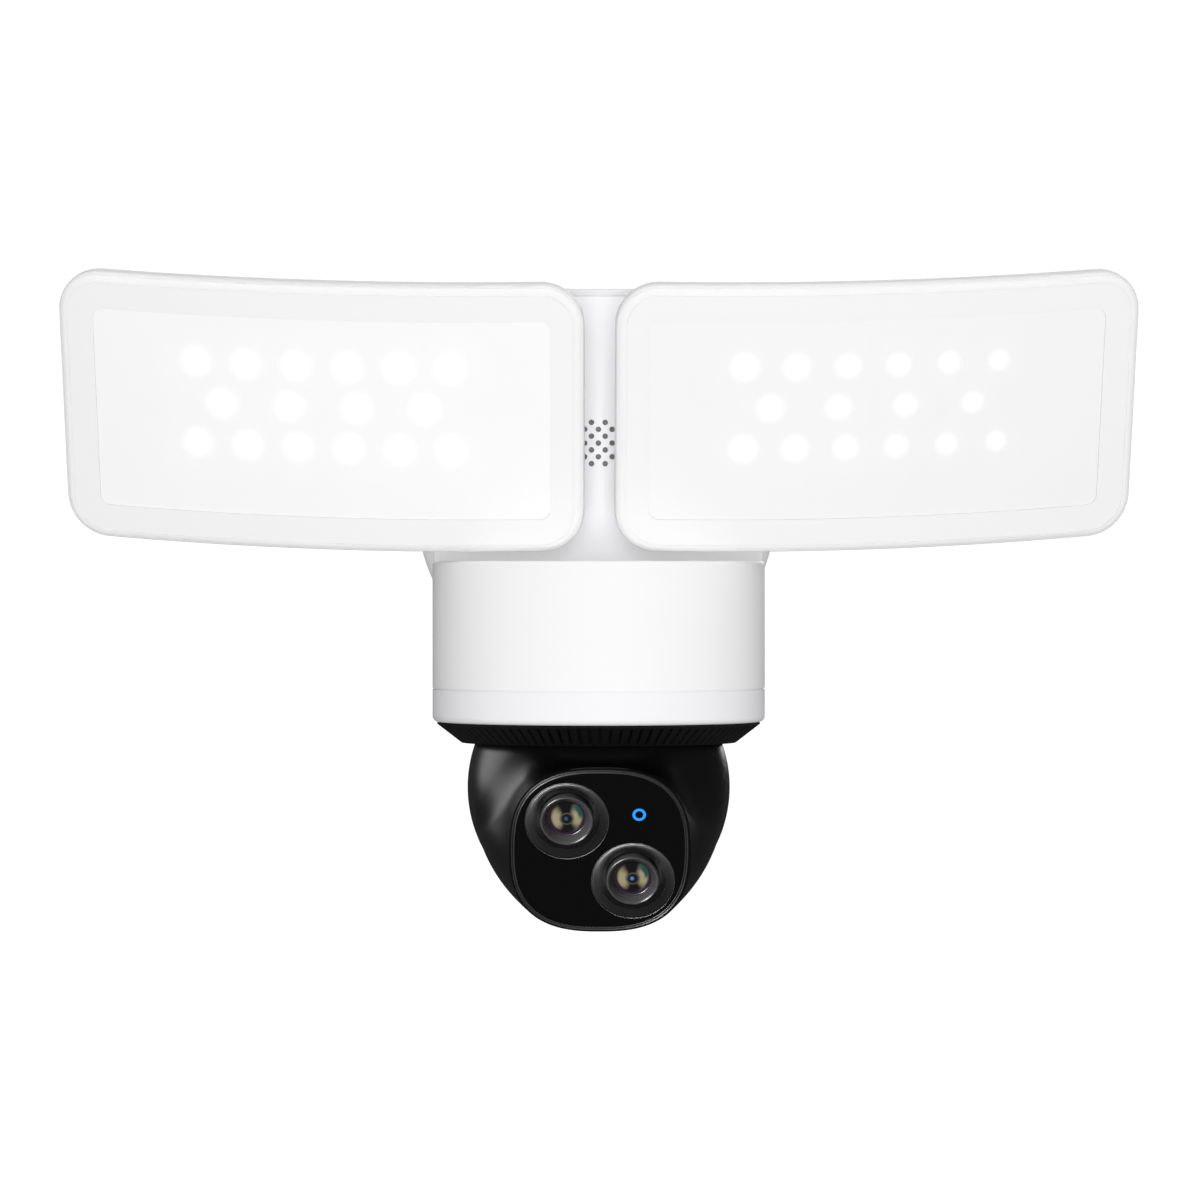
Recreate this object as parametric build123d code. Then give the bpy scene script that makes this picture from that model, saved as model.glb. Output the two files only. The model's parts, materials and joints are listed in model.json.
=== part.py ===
from build123d import *
import math
import os

os.makedirs("parts", exist_ok=True)

# Floodlight security camera, in millimetres. It is laid out about the camera's pan axis (X=0, Y=0),
# with Z=0 at the top ledge of the round drum. X is to the viewer's right, -Y faces the viewer, +Z is up.
# save() moves every node so that the centre of the wall face is the origin.

# Where the lamp meets the wall
WALL_Y = 113.0
BASE_Z = 20.0

# Column: the drum below, the flat-faced upper body above
DRUM_R = 56.9
BACK_Y = 57.0
BACK_CORNER_R = 24.0
WALL = 2.5
FACE_Y = 12.0
DRUM_SEAM_Z = -43.4
RING_BOTTOM_Z = -55.0
CAP_SEAM_Z = 91.0
CAP_TOP_Z = 93.8
SEAM_GROOVE = 0.5
EDGE_R = 1.2
RING_EDGE_R = 2.0

# Speaker grille in the front plate
GRILLE_Z = 40.6
GRILLE_HOLE_R = 0.95
GRILLE_PITCH = 4.74
GRILLE_ROWS = 7
GRILLE_COLUMNS = 8
SPEAKER_R = 20.0

# Wall base
BASE_R = 64.5
BASE_DEPTH = 23.0
BASE_EDGE_R = 7.0
GASKET_T = 1.5
STUD_X = 29.0
STUD_R = 2.0
BRACKET_T = 1.6
SLOT_SPACING = 84.0
SLOT_LENGTH = 14.2
SLOT_R = 2.3
STUD_PLAY = 0.2
NECK_Y = 76.0
NECK_R = 10.0
NECK_BOLT_R = 3.0
NECK_LUG_HALF = 7.8
NECK_EAR_T = 5.0

# Pan stage: bearing, turntable, gear train and vent ring
SLOT_COUNT = 96
SLOT_W = 1.0
SLOT_DEPTH = 2.6
VENT_TOP_R = 55.3
VENT_TOP_Z = -55.3
VENT_BOTTOM_R = 47.0
VENT_BOTTOM_Z = -62.1
BALL_OPENING_R = 43.3
TURNTABLE_R = 46.0
TURNTABLE_TOP_Z = -25.0
TURNTABLE_PLATE_T = 3.0
BEARING_FIT = 0.08
THRUST_GAP = 0.3
PAN_MODULE = 1.25
PAN_RING_TEETH = 64
PAN_PINION_TEETH = 14
PAN_GEAR_W = 5.0

# Camera ball and its face
BALL_R = 44.9
BALL_Z = -77.4
BALL_WALL = 2.5
FACE_TILT = 23.0
FACE_FRONT = 50.3
FACE_HALF = 30.3
FACE_POWER = 2.65
RIM_W = 1.2
PLATE_T = 2.2
NOSE_WALL = 1.8
NOSE_ROOT = 16.0
NOSE_ROOT_HALF_X = 40.5
NOSE_ROOT_TOP = 17.0
NOSE_ROOT_BOTTOM = -40.5
BALL_SPLIT = -15.0
STEM_HALF_X = 14.0
STEM_HALF_Y = 7.0
TILT_UP = 6.0
TILT_DOWN = 50.0
SHAFT_R = 3.0
TILT_MODULE = 0.8
TILT_GEAR_TEETH = 36
TILT_PINION_TEETH = 12
TILT_GEAR_X = 16.0
TILT_GEAR_W = 4.0
MOTOR_R = 9.0

# Lenses, status light and microphone holes, placed on the face plate (x, up)
LENS_AT = {"wide": (-11.1, 11.1), "tele": (11.1, -11.1)}
LENS_RING_R = 14.15
BARREL_R = 8.85
GLASS_R = 6.5
BOARD_FRONT = 25.6
LIGHT_AT = (13.1, 13.3)
LIGHT_R = 2.25
LIGHT_BORE_R = 1.35
LIGHT_DEPTH = 1.0
MIC_AT = ((-0.9, 0.0), (0.6, -0.3))
MIC_R = 0.35

# Light panels: the right-hand one is laid out, and the left-hand one is its mirror image
PANEL_W = 178.2
PANEL_H = 93.9
PANEL_TAPER = 0.54
PANEL_CORNER_R = 14.5
PANEL_BEND_R = 487.0
PANEL_AT = (94.9, -40.1, 47.6)
PANEL_TILT = 19.0
PANEL_TOE = 8.2
PANEL_ROLL = 0.64
PANEL_EDGE_R = 3.0
PANEL_BACK_R = 10.0
PANEL_DEPTH = 14.5
FRAME_DEPTH = 0.8
FACE_GROOVE_W = 0.35
FACE_GROOVE_DEPTH = 0.3
PANEL_SEAM = 0.3
PANEL_WALL = 2.4
WINDOW_INNER = 10.9
WINDOW_OUTER = 12.3
WINDOW_TOP = 12.4
WINDOW_BOTTOM = 12.15
WINDOW_CORNER_R = 3.5
LED_PITCH = 17.3
LED_MIDDLE_PITCH = 23.0
LED_ROW_PITCH = 14.3
LED_UP = 1.8
LED_INWARD = 0.7
LED_SIZE = 5.0
LED_BOARD_Y = 8.6

# Ball joint behind each panel, and the arm that carries it
JOINT_BACK = 29.0
JOINT_BALL_R = 9.5
SEAT_R = 12.2
JOINT_GAP = 0.3
SOCKET_R = 16.5
COLLAR_R = 19.0
NECK_OPENING = 64.0
ARM_R = 5.5
ARM_NECK_R = 4.2
ARM_Y = 26.0
ARM_FLANGE_R = 11.0

# Fasteners and the button
SCREW_R = 1.4
SCREW_HEAD_R = 2.8
SCREW_HEAD_H = 1.6
BUTTON_R = 4.0
BUTTON_X = 24.0
BUTTON_Z = -28.0


def save(name, *solids):
    """Write one node, moved so that the centre of the wall face is the origin."""
    moved = [Pos(0, -WALL_Y, -BASE_Z) * solid for solid in solids]
    shape = moved[0] if len(moved) == 1 else Compound(children=moved)
    export_step(shape, f"parts/{name}.step")


def block(x0, x1, y0, y1, z0, z1):
    """A box between two corners."""
    centre = Pos((x0 + x1) / 2, (y0 + y1) / 2, (z0 + z1) / 2)
    return centre * Box(x1 - x0, y1 - y0, z1 - z0)


def rod_z(radius, z0, z1, x=0.0, y=0.0):
    """A cylinder along Z."""
    return Pos(x, y, (z0 + z1) / 2) * Cylinder(radius, z1 - z0)


def rod_y(radius, y0, y1, x=0.0, z=0.0):
    """A cylinder along Y."""
    return Pos(x, (y0 + y1) / 2, z) * Rot(90, 0, 0) * Cylinder(radius, y1 - y0)


def rod_x(radius, x0, x1, y=0.0, z=0.0):
    """A cylinder along X."""
    return Pos((x0 + x1) / 2, y, z) * Rot(0, 90, 0) * Cylinder(radius, x1 - x0)


def turned(points):
    """A solid of revolution about Z from (radius, z) points."""
    profile = Polyline(*[(r, 0, z) for r, z in points], close=True)
    return revolve(make_face(profile), Axis.Z, 360)


def screw(length):
    """A pan-head screw with its head's underside at the origin, pointing down -Z."""
    return rod_z(SCREW_HEAD_R, 0, SCREW_HEAD_H) + rod_z(SCREW_R, -length, 0)


def involute_outline(module, teeth, backlash, turn=0.0, tip=1.0, root=1.2):
    """The closed outline of an involute spur gear, as points."""
    pitch_r = module * teeth / 2
    base_r = pitch_r * math.cos(math.radians(20))
    tip_r = pitch_r + tip * module
    root_r = pitch_r - root * module
    start_r = max(base_r, root_r)
    flank = []
    steps = 4
    for i in range(steps + 1):
        r = start_r + (tip_r - start_r) * i / steps
        angle = math.acos(min(1.0, base_r / r))
        flank.append((r, math.tan(angle) - angle))
    pitch_angle = math.acos(base_r / pitch_r)
    half = (math.pi * module / 2 - backlash) / (2 * pitch_r) + math.tan(pitch_angle) - pitch_angle
    points = []
    for tooth in range(teeth):
        middle = 2 * math.pi * tooth / teeth + math.radians(turn)
        sides = [(root_r, -half)] + [(r, a - half) for r, a in flank]
        sides += [(r, half - a) for r, a in reversed(flank)] + [(root_r, half)]
        if root_r >= start_r:
            sides = sides[1:-1]
        points += [(r * math.cos(middle + a), r * math.sin(middle + a)) for r, a in sides]
    return points


def gear_face(module, teeth, backlash, turn=0.0, tip=1.0, root=1.2):
    """A gear's flat outline on the XY plane."""
    points = involute_outline(module, teeth, backlash, turn, tip, root)
    return make_face(Polyline(*points, close=True))


# ---------------------------------------------------------------- column

def column_face(inset):
    """The column in plan: a half round in front, straight sides and rounded back corners."""
    r = DRUM_R - inset
    corner = BACK_CORNER_R - inset
    side = BACK_Y - inset - corner
    arm = corner * math.sqrt(0.5)
    outline = ThreePointArc((-r, 0), (0, -r), (r, 0)) + Line((r, 0), (r, side))
    outline += ThreePointArc((r, side), (r - corner + arm, side + arm), (r - corner, side + corner))
    outline += Line((r - corner, side + corner), (corner - r, side + corner))
    outline += ThreePointArc((corner - r, side + corner), (corner - r - arm, side + arm), (-r, side))
    outline += Line((-r, side), (-r, 0))
    return make_face(outline)


def column(inset, z0, z1):
    """The column in plan, raised between two heights."""
    return extrude(Pos(0, 0, z0) * column_face(inset), z1 - z0)


def make_body_shell():
    """The column's shell: open below for the pan stage, open above and in front for its covers."""
    far = DRUM_R + WALL
    plate_back = FACE_Y + WALL
    shell = column(0, DRUM_SEAM_Z, CAP_SEAM_Z) - block(-far, far, -far, plate_back, 0, CAP_SEAM_Z)
    ledge = shell.edges().filter_by(GeomType.CIRCLE).filter_by_position(Axis.Z, -0.1, 0.1)
    shell = fillet(ledge, EDGE_R)
    shell -= column(WALL, DRUM_SEAM_Z, -WALL)
    shell -= column(WALL, -WALL - 1, CAP_SEAM_Z) - block(-far, far, -far, plate_back, -far, 2 * far)
    shell -= rod_x(ARM_R - 1.5, -DRUM_R, DRUM_R, ARM_Y, ARM_Z)
    shell -= rod_y(BUTTON_R + 0.15, BACK_Y - WALL, BACK_Y, BUTTON_X, BUTTON_Z)
    shell -= rod_y(5.0, BACK_Y - WALL, BACK_Y, 0, BASE_Z)
    for x, z in LUG_SCREWS:
        shell -= rod_y(SCREW_R, BACK_Y - WALL, BACK_Y, x, z)
    for y, z in ARM_SCREWS:
        shell -= rod_x(SCREW_R, -DRUM_R, DRUM_R, y, z)
    return shell


def make_front_plate():
    """The flat front cover with the speaker grille."""
    plate = block(-DRUM_R, DRUM_R, FACE_Y, FACE_Y + WALL, 0, CAP_SEAM_Z)
    corners = plate.edges().filter_by(Axis.Z).group_by(Axis.Y)[0]
    plate = fillet(corners, 1.5)
    holes = []
    for row in range(GRILLE_ROWS):
        count = GRILLE_COLUMNS - row % 2
        z = GRILLE_Z + ((GRILLE_ROWS - 1) / 2 - row) * GRILLE_PITCH / 2
        for i in range(count):
            x = (i - (count - 1) / 2) * GRILLE_PITCH
            holes.append(rod_y(GRILLE_HOLE_R, FACE_Y - 1, FACE_Y + WALL + 1, x, z))
    return plate - holes


def make_top_cap():
    """The cover that closes the top, with a reveal groove along its lower edge."""
    far = 2 * DRUM_R
    front = block(-far, far, -far, FACE_Y, CAP_SEAM_Z, CAP_TOP_Z)
    cap = column(0, CAP_SEAM_Z + SEAM_GROOVE, CAP_TOP_Z) - front
    rim = cap.edges().group_by(Axis.Z)[-1]
    cap = fillet(rim, EDGE_R)
    inner_front = block(-far, far, -far, FACE_Y + SEAM_GROOVE, CAP_SEAM_Z, CAP_TOP_Z)
    neck = column(SEAM_GROOVE, CAP_SEAM_Z, CAP_SEAM_Z + SEAM_GROOVE) - inner_front
    plug_front = block(-far, far, -far, FACE_Y + WALL, -far, far)
    plug = column(WALL, CAP_SEAM_Z - 2, CAP_SEAM_Z) - plug_front
    hollow_front = block(-far, far, -far, FACE_Y + 2 * WALL, -far, far)
    hollow = column(2 * WALL, CAP_SEAM_Z - 2, CAP_SEAM_Z + 1) - hollow_front
    return cap + neck + plug - hollow


def make_bottom_ring():
    """The band under the drum, whose floor holds the pan bearing."""
    ring = column(0, RING_BOTTOM_Z, DRUM_SEAM_Z - SEAM_GROOVE)
    ring = fillet(ring.edges().group_by(Axis.Z)[0], RING_EDGE_R)
    ring += column(SEAM_GROOVE, DRUM_SEAM_Z - SEAM_GROOVE, DRUM_SEAM_Z)
    ring -= column(WALL, RING_BOTTOM_Z + WALL, DRUM_SEAM_Z)
    ring -= rod_z(BEARING_OUTER_R, RING_BOTTOM_Z, RING_BOTTOM_Z + WALL)
    for x, y in RING_POSTS:
        ring += rod_z(3.5, RING_BOTTOM_Z + WALL, DRUM_SEAM_Z, x, y)
        ring -= rod_z(SCREW_R, RING_BOTTOM_Z, DRUM_SEAM_Z, x, y)
        ring -= rod_z(SCREW_HEAD_R, RING_BOTTOM_Z, RING_BOTTOM_Z + SCREW_HEAD_H, x, y)
    return ring


def make_body_screws():
    """The pan-head screws of the body: under the bottom ring, on the lug's plate and inside the arms."""
    ring = [Pos(x, y, RING_BOTTOM_Z + SCREW_HEAD_H) * Rot(180, 0, 0) * screw(9) for x, y in RING_POSTS]
    lug = [Pos(x, BACK_Y + 3, z) * Rot(-90, 0, 0) * screw(5.5) for x, z in LUG_SCREWS]
    arms = [Pos(DRUM_R - WALL, y, z) * Rot(0, -90, 0) * screw(4.4) for y, z in ARM_SCREWS]
    return ring + lug + arms + [mirror(s, about=Plane.YZ) for s in arms]


# ---------------------------------------------------------------- wall base

def make_base_canopy():
    """The round cover over the junction box."""
    front = WALL_Y - BASE_DEPTH
    back = WALL_Y - GASKET_T
    cover = rod_y(BASE_R, front, back, 0, BASE_Z)
    cover = fillet(cover.edges().group_by(Axis.Y)[0], BASE_EDGE_R)
    inner = rod_y(BASE_R - WALL, front + WALL, back, 0, BASE_Z)
    inner = fillet(inner.edges().group_by(Axis.Y)[0], BASE_EDGE_R - WALL)
    cover -= inner
    for side in (-1, 1):
        cover -= rod_y(STUD_R + STUD_PLAY, front, front + WALL, side * STUD_X, BASE_Z)
    cover -= rod_y(GLAND_R, front, front + WALL, 0, BASE_Z)
    for x, z in FORK_SCREWS:
        cover -= rod_y(SCREW_R, front, front + WALL, x, z)
    return cover


def make_base_gasket():
    """The foam ring between the canopy and the wall."""
    return rod_y(BASE_R, WALL_Y - GASKET_T, WALL_Y, 0, BASE_Z) - rod_y(
        BASE_R - 5, WALL_Y - GASKET_T, WALL_Y, 0, BASE_Z
    )


def make_mounting_bracket():
    """The slotted steel cross bar that screws to the junction box."""
    front = WALL_Y - BRACKET_T
    bar = block(-53, 53, front, WALL_Y, BASE_Z - 13, BASE_Z + 13)
    bar = fillet(bar.edges().filter_by(Axis.Y), 6)
    bar -= rod_y(9, front, WALL_Y, 0, BASE_Z)
    for side in (-1, 1):
        bar -= rod_y(STUD_R, front, WALL_Y, side * STUD_X, BASE_Z)
        middle = Pos(side * SLOT_SPACING / 2, WALL_Y, BASE_Z)
        bar -= middle * Rot(90, 0, 0) * extrude(SlotOverall(SLOT_LENGTH, 2 * SLOT_R), 2 * BRACKET_T, both=True)
    return bar


def make_bracket_studs():
    """The two studs that stand on the bracket and pass through the canopy."""
    front = WALL_Y - BASE_DEPTH
    return [rod_y(STUD_R, front - 4, WALL_Y, side * STUD_X, BASE_Z) for side in (-1, 1)]


def make_cap_nuts():
    """The domed nuts that clamp the canopy."""
    front = WALL_Y - BASE_DEPTH
    nuts = []
    for side in (-1, 1):
        nut = Pos(side * STUD_X, front - 2.5, BASE_Z) * Rot(90, 0, 0) * extrude(
            RegularPolygon(5.2, 6), 2.5, both=True
        )
        nut += Pos(side * STUD_X, front - 5, BASE_Z) * Sphere(4.2)
        nut -= block(-90, 90, front, front + 9, BASE_Z - 9, BASE_Z + 9)
        nut -= rod_y(STUD_R, front - 4, front, side * STUD_X, BASE_Z)
        nuts.append(nut)
    return nuts


def make_neck_fork():
    """The fork on the canopy that carries the body."""
    front = WALL_Y - BASE_DEPTH
    fork = rod_y(21, front - 3, front, 0, BASE_Z)
    inner = NECK_LUG_HALF + 0.2
    for side in (-1, 1):
        x0, x1 = sorted((side * inner, side * (inner + NECK_EAR_T)))
        ear = rod_x(NECK_R, x0, x1, NECK_Y, BASE_Z)
        ear += block(x0, x1, NECK_Y, front - 3, BASE_Z - NECK_R, BASE_Z + NECK_R)
        fork += ear
    fork -= rod_x(NECK_BOLT_R, -20, 20, NECK_Y, BASE_Z)
    fork -= rod_y(GLAND_R - 2, front - 3, front, 0, BASE_Z)
    for x, z in FORK_SCREWS:
        fork -= rod_y(SCREW_R, front - 3, front, x, z)
    return fork


def make_fork_screws():
    """The screws that hold the fork, driven from inside the canopy."""
    inside = WALL_Y - BASE_DEPTH + WALL
    return [Pos(x, inside, z) * Rot(-90, 0, 0) * screw(5.3) for x, z in FORK_SCREWS]


def make_neck_bolt():
    """The bolt and its nut: the body leans on it."""
    outer = NECK_LUG_HALF + 0.2 + NECK_EAR_T
    bolt = rod_x(NECK_BOLT_R, -outer, outer + 5, NECK_Y, BASE_Z)
    bolt += rod_x(6, -outer - 4, -outer, NECK_Y, BASE_Z)
    bolt -= Pos(-outer - 2.5, NECK_Y, BASE_Z) * Rot(0, 90, 0) * extrude(RegularPolygon(2.6, 6), 1.5, both=True)
    nut = Pos(outer, NECK_Y, BASE_Z) * Rot(0, 90, 0) * extrude(RegularPolygon(6, 6), 4)
    nut -= rod_x(NECK_BOLT_R, outer, outer + 4, NECK_Y, BASE_Z)
    return bolt, nut


def make_neck_lug():
    """The lug on the back of the body, between the fork's ears."""
    lug = rod_x(NECK_R, -NECK_LUG_HALF, NECK_LUG_HALF, NECK_Y, BASE_Z)
    lug += block(-NECK_LUG_HALF, NECK_LUG_HALF, BACK_Y, NECK_Y, BASE_Z - 8, BASE_Z + 8)
    plate = block(-20, 20, BACK_Y, BACK_Y + 3, BASE_Z - 16, BASE_Z + 16)
    lug += fillet(plate.edges().filter_by(Axis.Y), 6)
    lug -= rod_x(NECK_BOLT_R + 0.05, -20, 20, NECK_Y, BASE_Z)
    lug -= rod_y(4, BACK_Y, BACK_Y + 6, 0, BASE_Z)
    for x, z in LUG_SCREWS:
        lug -= rod_y(SCREW_R, BACK_Y, BACK_Y + 3, x, z)
    return lug


def make_wire_gland():
    """The rubber bush that the supply wires pass through."""
    front = WALL_Y - BASE_DEPTH
    gland = rod_y(GLAND_R, front, front + WALL, 0, BASE_Z) + rod_y(8.5, front + WALL, front + 6, 0, BASE_Z)
    return gland - rod_y(GLAND_R - 2, front, front + 6, 0, BASE_Z)


# ---------------------------------------------------------------- inside the body

def make_speaker():
    """The loudspeaker behind the grille."""
    back = FACE_Y + WALL
    basket = turned([(0, 0), (SPEAKER_R, 0), (SPEAKER_R, 3), (12, 9), (11, 14), (0, 14)])
    cone = turned([(0, -1), (SPEAKER_R - 2.5, -1), (SPEAKER_R - 2.5, 1), (5, 5), (0, 5)])
    return Pos(0, back, GRILLE_Z) * Rot(-90, 0, 0) * (basket - cone)


def make_main_board():
    """The camera's main circuit board with its larger parts."""
    y = 37.0
    board = block(-42, 42, y, y + 1.6, 6, 84)
    board += block(-16, 16, y - 4, y, 40, 66)
    board += block(20, 38, y - 3, y, 12, 30)
    board += block(-38, -22, y - 6, y, 10, 24)
    return board


def make_power_board():
    """The mains supply and lamp driver board."""
    y = 48.0
    board = block(-36, 36, y, y + 1.6, -30, 84)
    board += block(-14, 10, y - 6, y, 52, 78)
    for x, z in ((-26, 70), (-26, 56), (22, 72)):
        board += rod_y(5, y - 8, y, x, z)
    return board


def make_pan_motor():
    """The pan stepper motor, standing on the pinion's axis."""
    body = rod_z(12, PAN_GEAR_TOP_Z + 3, PAN_GEAR_TOP_Z + 16, 0, PAN_CENTRE)
    ears = block(-17, 17, PAN_CENTRE - 4, PAN_CENTRE + 4, PAN_GEAR_TOP_Z + 2, PAN_GEAR_TOP_Z + 3)
    return body + ears - rod_z(1.6, PAN_GEAR_TOP_Z, PAN_GEAR_TOP_Z + 12, 0, PAN_CENTRE)


def make_pan_pinion():
    """The pinion on the pan motor."""
    teeth = gear_face(PAN_MODULE, PAN_PINION_TEETH, 0.3, 90)
    pinion = Pos(0, PAN_CENTRE, PAN_GEAR_Z) * extrude(teeth, PAN_GEAR_W)
    return pinion + rod_z(1.5, PAN_GEAR_TOP_Z, PAN_GEAR_TOP_Z + 12, 0, PAN_CENTRE)


def make_pan_bearing():
    """The nylon ring that the turntable runs in."""
    inner = TURNTABLE_R + BEARING_FIT
    ring = rod_z(BEARING_OUTER_R, RING_BOTTOM_Z, RING_BOTTOM_Z + WALL)
    ring += rod_z(BEARING_OUTER_R + 2.5, RING_BOTTOM_Z + WALL, BEARING_TOP_Z)
    return ring - rod_z(inner, RING_BOTTOM_Z, BEARING_TOP_Z)


def make_sync_button():
    """The round button on the back of the drum."""
    button = rod_y(BUTTON_R, BACK_Y - WALL - 1.5, BACK_Y + 1.6, BUTTON_X, BUTTON_Z)
    button = fillet(button.edges().group_by(Axis.Y)[-1], 0.6)
    return button + rod_y(BUTTON_R + 1.5, BACK_Y - WALL - 1.5, BACK_Y - WALL - 0.05, BUTTON_X, BUTTON_Z)


# ---------------------------------------------------------------- pan stage

def make_turntable():
    """The inverted cup that turns in the bearing, with the ring gear on top."""
    plate_z = TURNTABLE_TOP_Z - TURNTABLE_PLATE_T
    cup = rod_z(TURNTABLE_R, VENT_TOP_Z, TURNTABLE_TOP_Z) - rod_z(BALL_OPENING_R, VENT_TOP_Z, plate_z)
    cup += rod_z(TURNTABLE_R + 3.5, BEARING_TOP_Z + THRUST_GAP, BEARING_TOP_Z + THRUST_GAP + 2) - rod_z(
        TURNTABLE_R - 1, BEARING_TOP_Z, BEARING_TOP_Z + THRUST_GAP + 2
    )
    cup -= rod_z(8, plate_z, TURNTABLE_TOP_Z)
    for x, y in YOKE_SCREWS:
        cup -= rod_z(SCREW_R, plate_z, TURNTABLE_TOP_Z, x, y)
    gap_teeth = gear_face(PAN_MODULE, PAN_RING_TEETH, -0.2, 90, tip=1.2, root=1.0)
    ring = extrude(Circle(TURNTABLE_R) - gap_teeth, PAN_GEAR_W)
    return cup + Pos(0, 0, TURNTABLE_TOP_Z) * ring


def make_vent_ring():
    """The slotted cone under the band."""
    cone = turned([
        (BALL_OPENING_R, VENT_TOP_Z),
        (VENT_TOP_R, VENT_TOP_Z),
        (VENT_TOP_R, VENT_TOP_Z - 0.4),
        (VENT_BOTTOM_R, VENT_BOTTOM_Z),
        (BALL_OPENING_R, VENT_BOTTOM_Z),
    ])
    slope = math.degrees(math.atan2(VENT_TOP_Z - VENT_BOTTOM_Z, VENT_TOP_R - VENT_BOTTOM_R))
    middle_r = (VENT_TOP_R + VENT_BOTTOM_R) / 2
    middle_z = (VENT_TOP_Z + VENT_BOTTOM_Z) / 2
    length = math.hypot(VENT_TOP_R - VENT_BOTTOM_R, VENT_TOP_Z - VENT_BOTTOM_Z)
    cutter = Pos(middle_r - 0.6, 0, middle_z) * Rot(0, -slope, 0) * Box(length - 1.4, SLOT_W, SLOT_DEPTH)
    slots = [Rot(0, 0, 360 * i / SLOT_COUNT) * cutter for i in range(SLOT_COUNT)]
    return cone - slots


def make_tilt_yoke():
    """The two cheeks that hang from the turntable into the ball."""
    top = TURNTABLE_TOP_Z - TURNTABLE_PLATE_T
    yoke = block(-STEM_HALF_X, STEM_HALF_X, -12, 12, top - 3, top)
    for side in (-1, 1):
        x0, x1 = sorted((side * STEM_HALF_X, side * (STEM_HALF_X - 3)))
        yoke += block(x0, x1, -STEM_HALF_Y, STEM_HALF_Y, BALL_Z, top - 3)
        yoke += rod_x(STEM_HALF_Y, x0, x1, 0, BALL_Z)
        yoke += rod_x(5, x0, x1, TILT_OFFSET, BALL_Z + TILT_OFFSET)
        yoke += block(x0, x1, 0, TILT_OFFSET, BALL_Z + TILT_OFFSET - 5, BALL_Z + TILT_OFFSET + 5)
    yoke += block(-STEM_HALF_X, STEM_HALF_X, -STEM_HALF_Y, -STEM_HALF_Y + 2.5, BALL_Z + 12, top - 3)
    yoke -= rod_x(SHAFT_R + 0.05, -20, 20, 0, BALL_Z)
    yoke -= rod_x(1.55, -20, 20, TILT_OFFSET, BALL_Z + TILT_OFFSET)
    yoke -= rod_z(5, top - 3, top)
    for x, y in YOKE_SCREWS:
        yoke -= rod_z(SCREW_R, top - 3, top, x, y)
    return yoke


def make_yoke_screws():
    """The screws that hang the yoke from the turntable."""
    return [Pos(x, y, TURNTABLE_TOP_Z) * screw(5.8) for x, y in YOKE_SCREWS]


def make_tilt_motor():
    """The tilt stepper motor on the yoke's left cheek."""
    motor = rod_x(MOTOR_R, -STEM_HALF_X - 14, -STEM_HALF_X, TILT_OFFSET, BALL_Z + TILT_OFFSET)
    return motor - rod_x(1.55, -STEM_HALF_X - 8, -STEM_HALF_X, TILT_OFFSET, BALL_Z + TILT_OFFSET)


def make_tilt_pinion():
    """The pinion and spindle of the tilt motor."""
    teeth = gear_face(TILT_MODULE, TILT_PINION_TEETH, 0.25, 45 + 180 + 180 / TILT_PINION_TEETH)
    pinion = extrude(teeth, TILT_GEAR_W)
    place = Pos(TILT_GEAR_X, TILT_OFFSET, BALL_Z + TILT_OFFSET) * Rot(0, 90, 0) * Rot(0, 0, 90)
    spindle = rod_x(1.5, -STEM_HALF_X - 7, TILT_GEAR_X, TILT_OFFSET, BALL_Z + TILT_OFFSET)
    return place * pinion + spindle


def make_tilt_gear():
    """The cross shaft that the ball turns on, with its gear."""
    teeth = gear_face(TILT_MODULE, TILT_GEAR_TEETH, 0.25, 45)
    gear = Pos(TILT_GEAR_X, 0, BALL_Z) * Rot(0, 90, 0) * Rot(0, 0, 90) * extrude(teeth, TILT_GEAR_W)
    return gear + rod_x(SHAFT_R, -BOSS_END, BOSS_END, 0, BALL_Z)


# ---------------------------------------------------------------- camera ball
# The ball is laid out with its face looking up +Z, its right along +X and its top along +Y,
# and is then turned to its rest pose by ball_place.

def ball_place(shape):
    """Turn a piece from the layout above to its place in the lamp."""
    return Pos(0, 0, BALL_Z) * Rot(90 + FACE_TILT, 0, 0) * shape


def squircle(half_x, half_y, height, centre=0.0):
    """A face with a superellipse outline."""
    points = []
    count = 40
    for i in range(count):
        a = 2 * math.pi * i / count
        c, s = math.cos(a), math.sin(a)
        x = math.copysign(abs(c) ** (2 / FACE_POWER), c) * half_x
        y = math.copysign(abs(s) ** (2 / FACE_POWER), s) * half_y
        points.append((x, y + centre, height))
    return make_face(Spline(*points, periodic=True))


def nose(inset):
    """The block that carries the face plate out of the ball."""
    front = squircle(FACE_HALF - inset, FACE_HALF - inset, FACE_FRONT)
    root_half = (NOSE_ROOT_TOP - NOSE_ROOT_BOTTOM) / 2 - inset
    root_centre = (NOSE_ROOT_TOP + NOSE_ROOT_BOTTOM) / 2
    root = squircle(NOSE_ROOT_HALF_X - inset, root_half, NOSE_ROOT, root_centre)
    return loft([root, front], ruled=True)


def stem_slot():
    """The slot that the yoke passes through, over the whole tilt travel."""
    reach = math.degrees(math.asin(STEM_HALF_Y / (BALL_R - BALL_WALL))) + 1.5
    sweep = TILT_UP + TILT_DOWN + 2 * reach
    half = STEM_HALF_X + 1
    first = -(FACE_TILT + TILT_DOWN + reach)
    points = [(0, 0)]
    steps = 8
    for i in range(steps + 1):
        a = math.radians(first + sweep * i / steps)
        points.append((60 * math.cos(a), 60 * math.sin(a)))
    wedge = make_face(Polyline(*[(0, y, z) for y, z in points], close=True))
    return extrude(wedge, half, both=True) - rod_x(33, -half, half)


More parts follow.
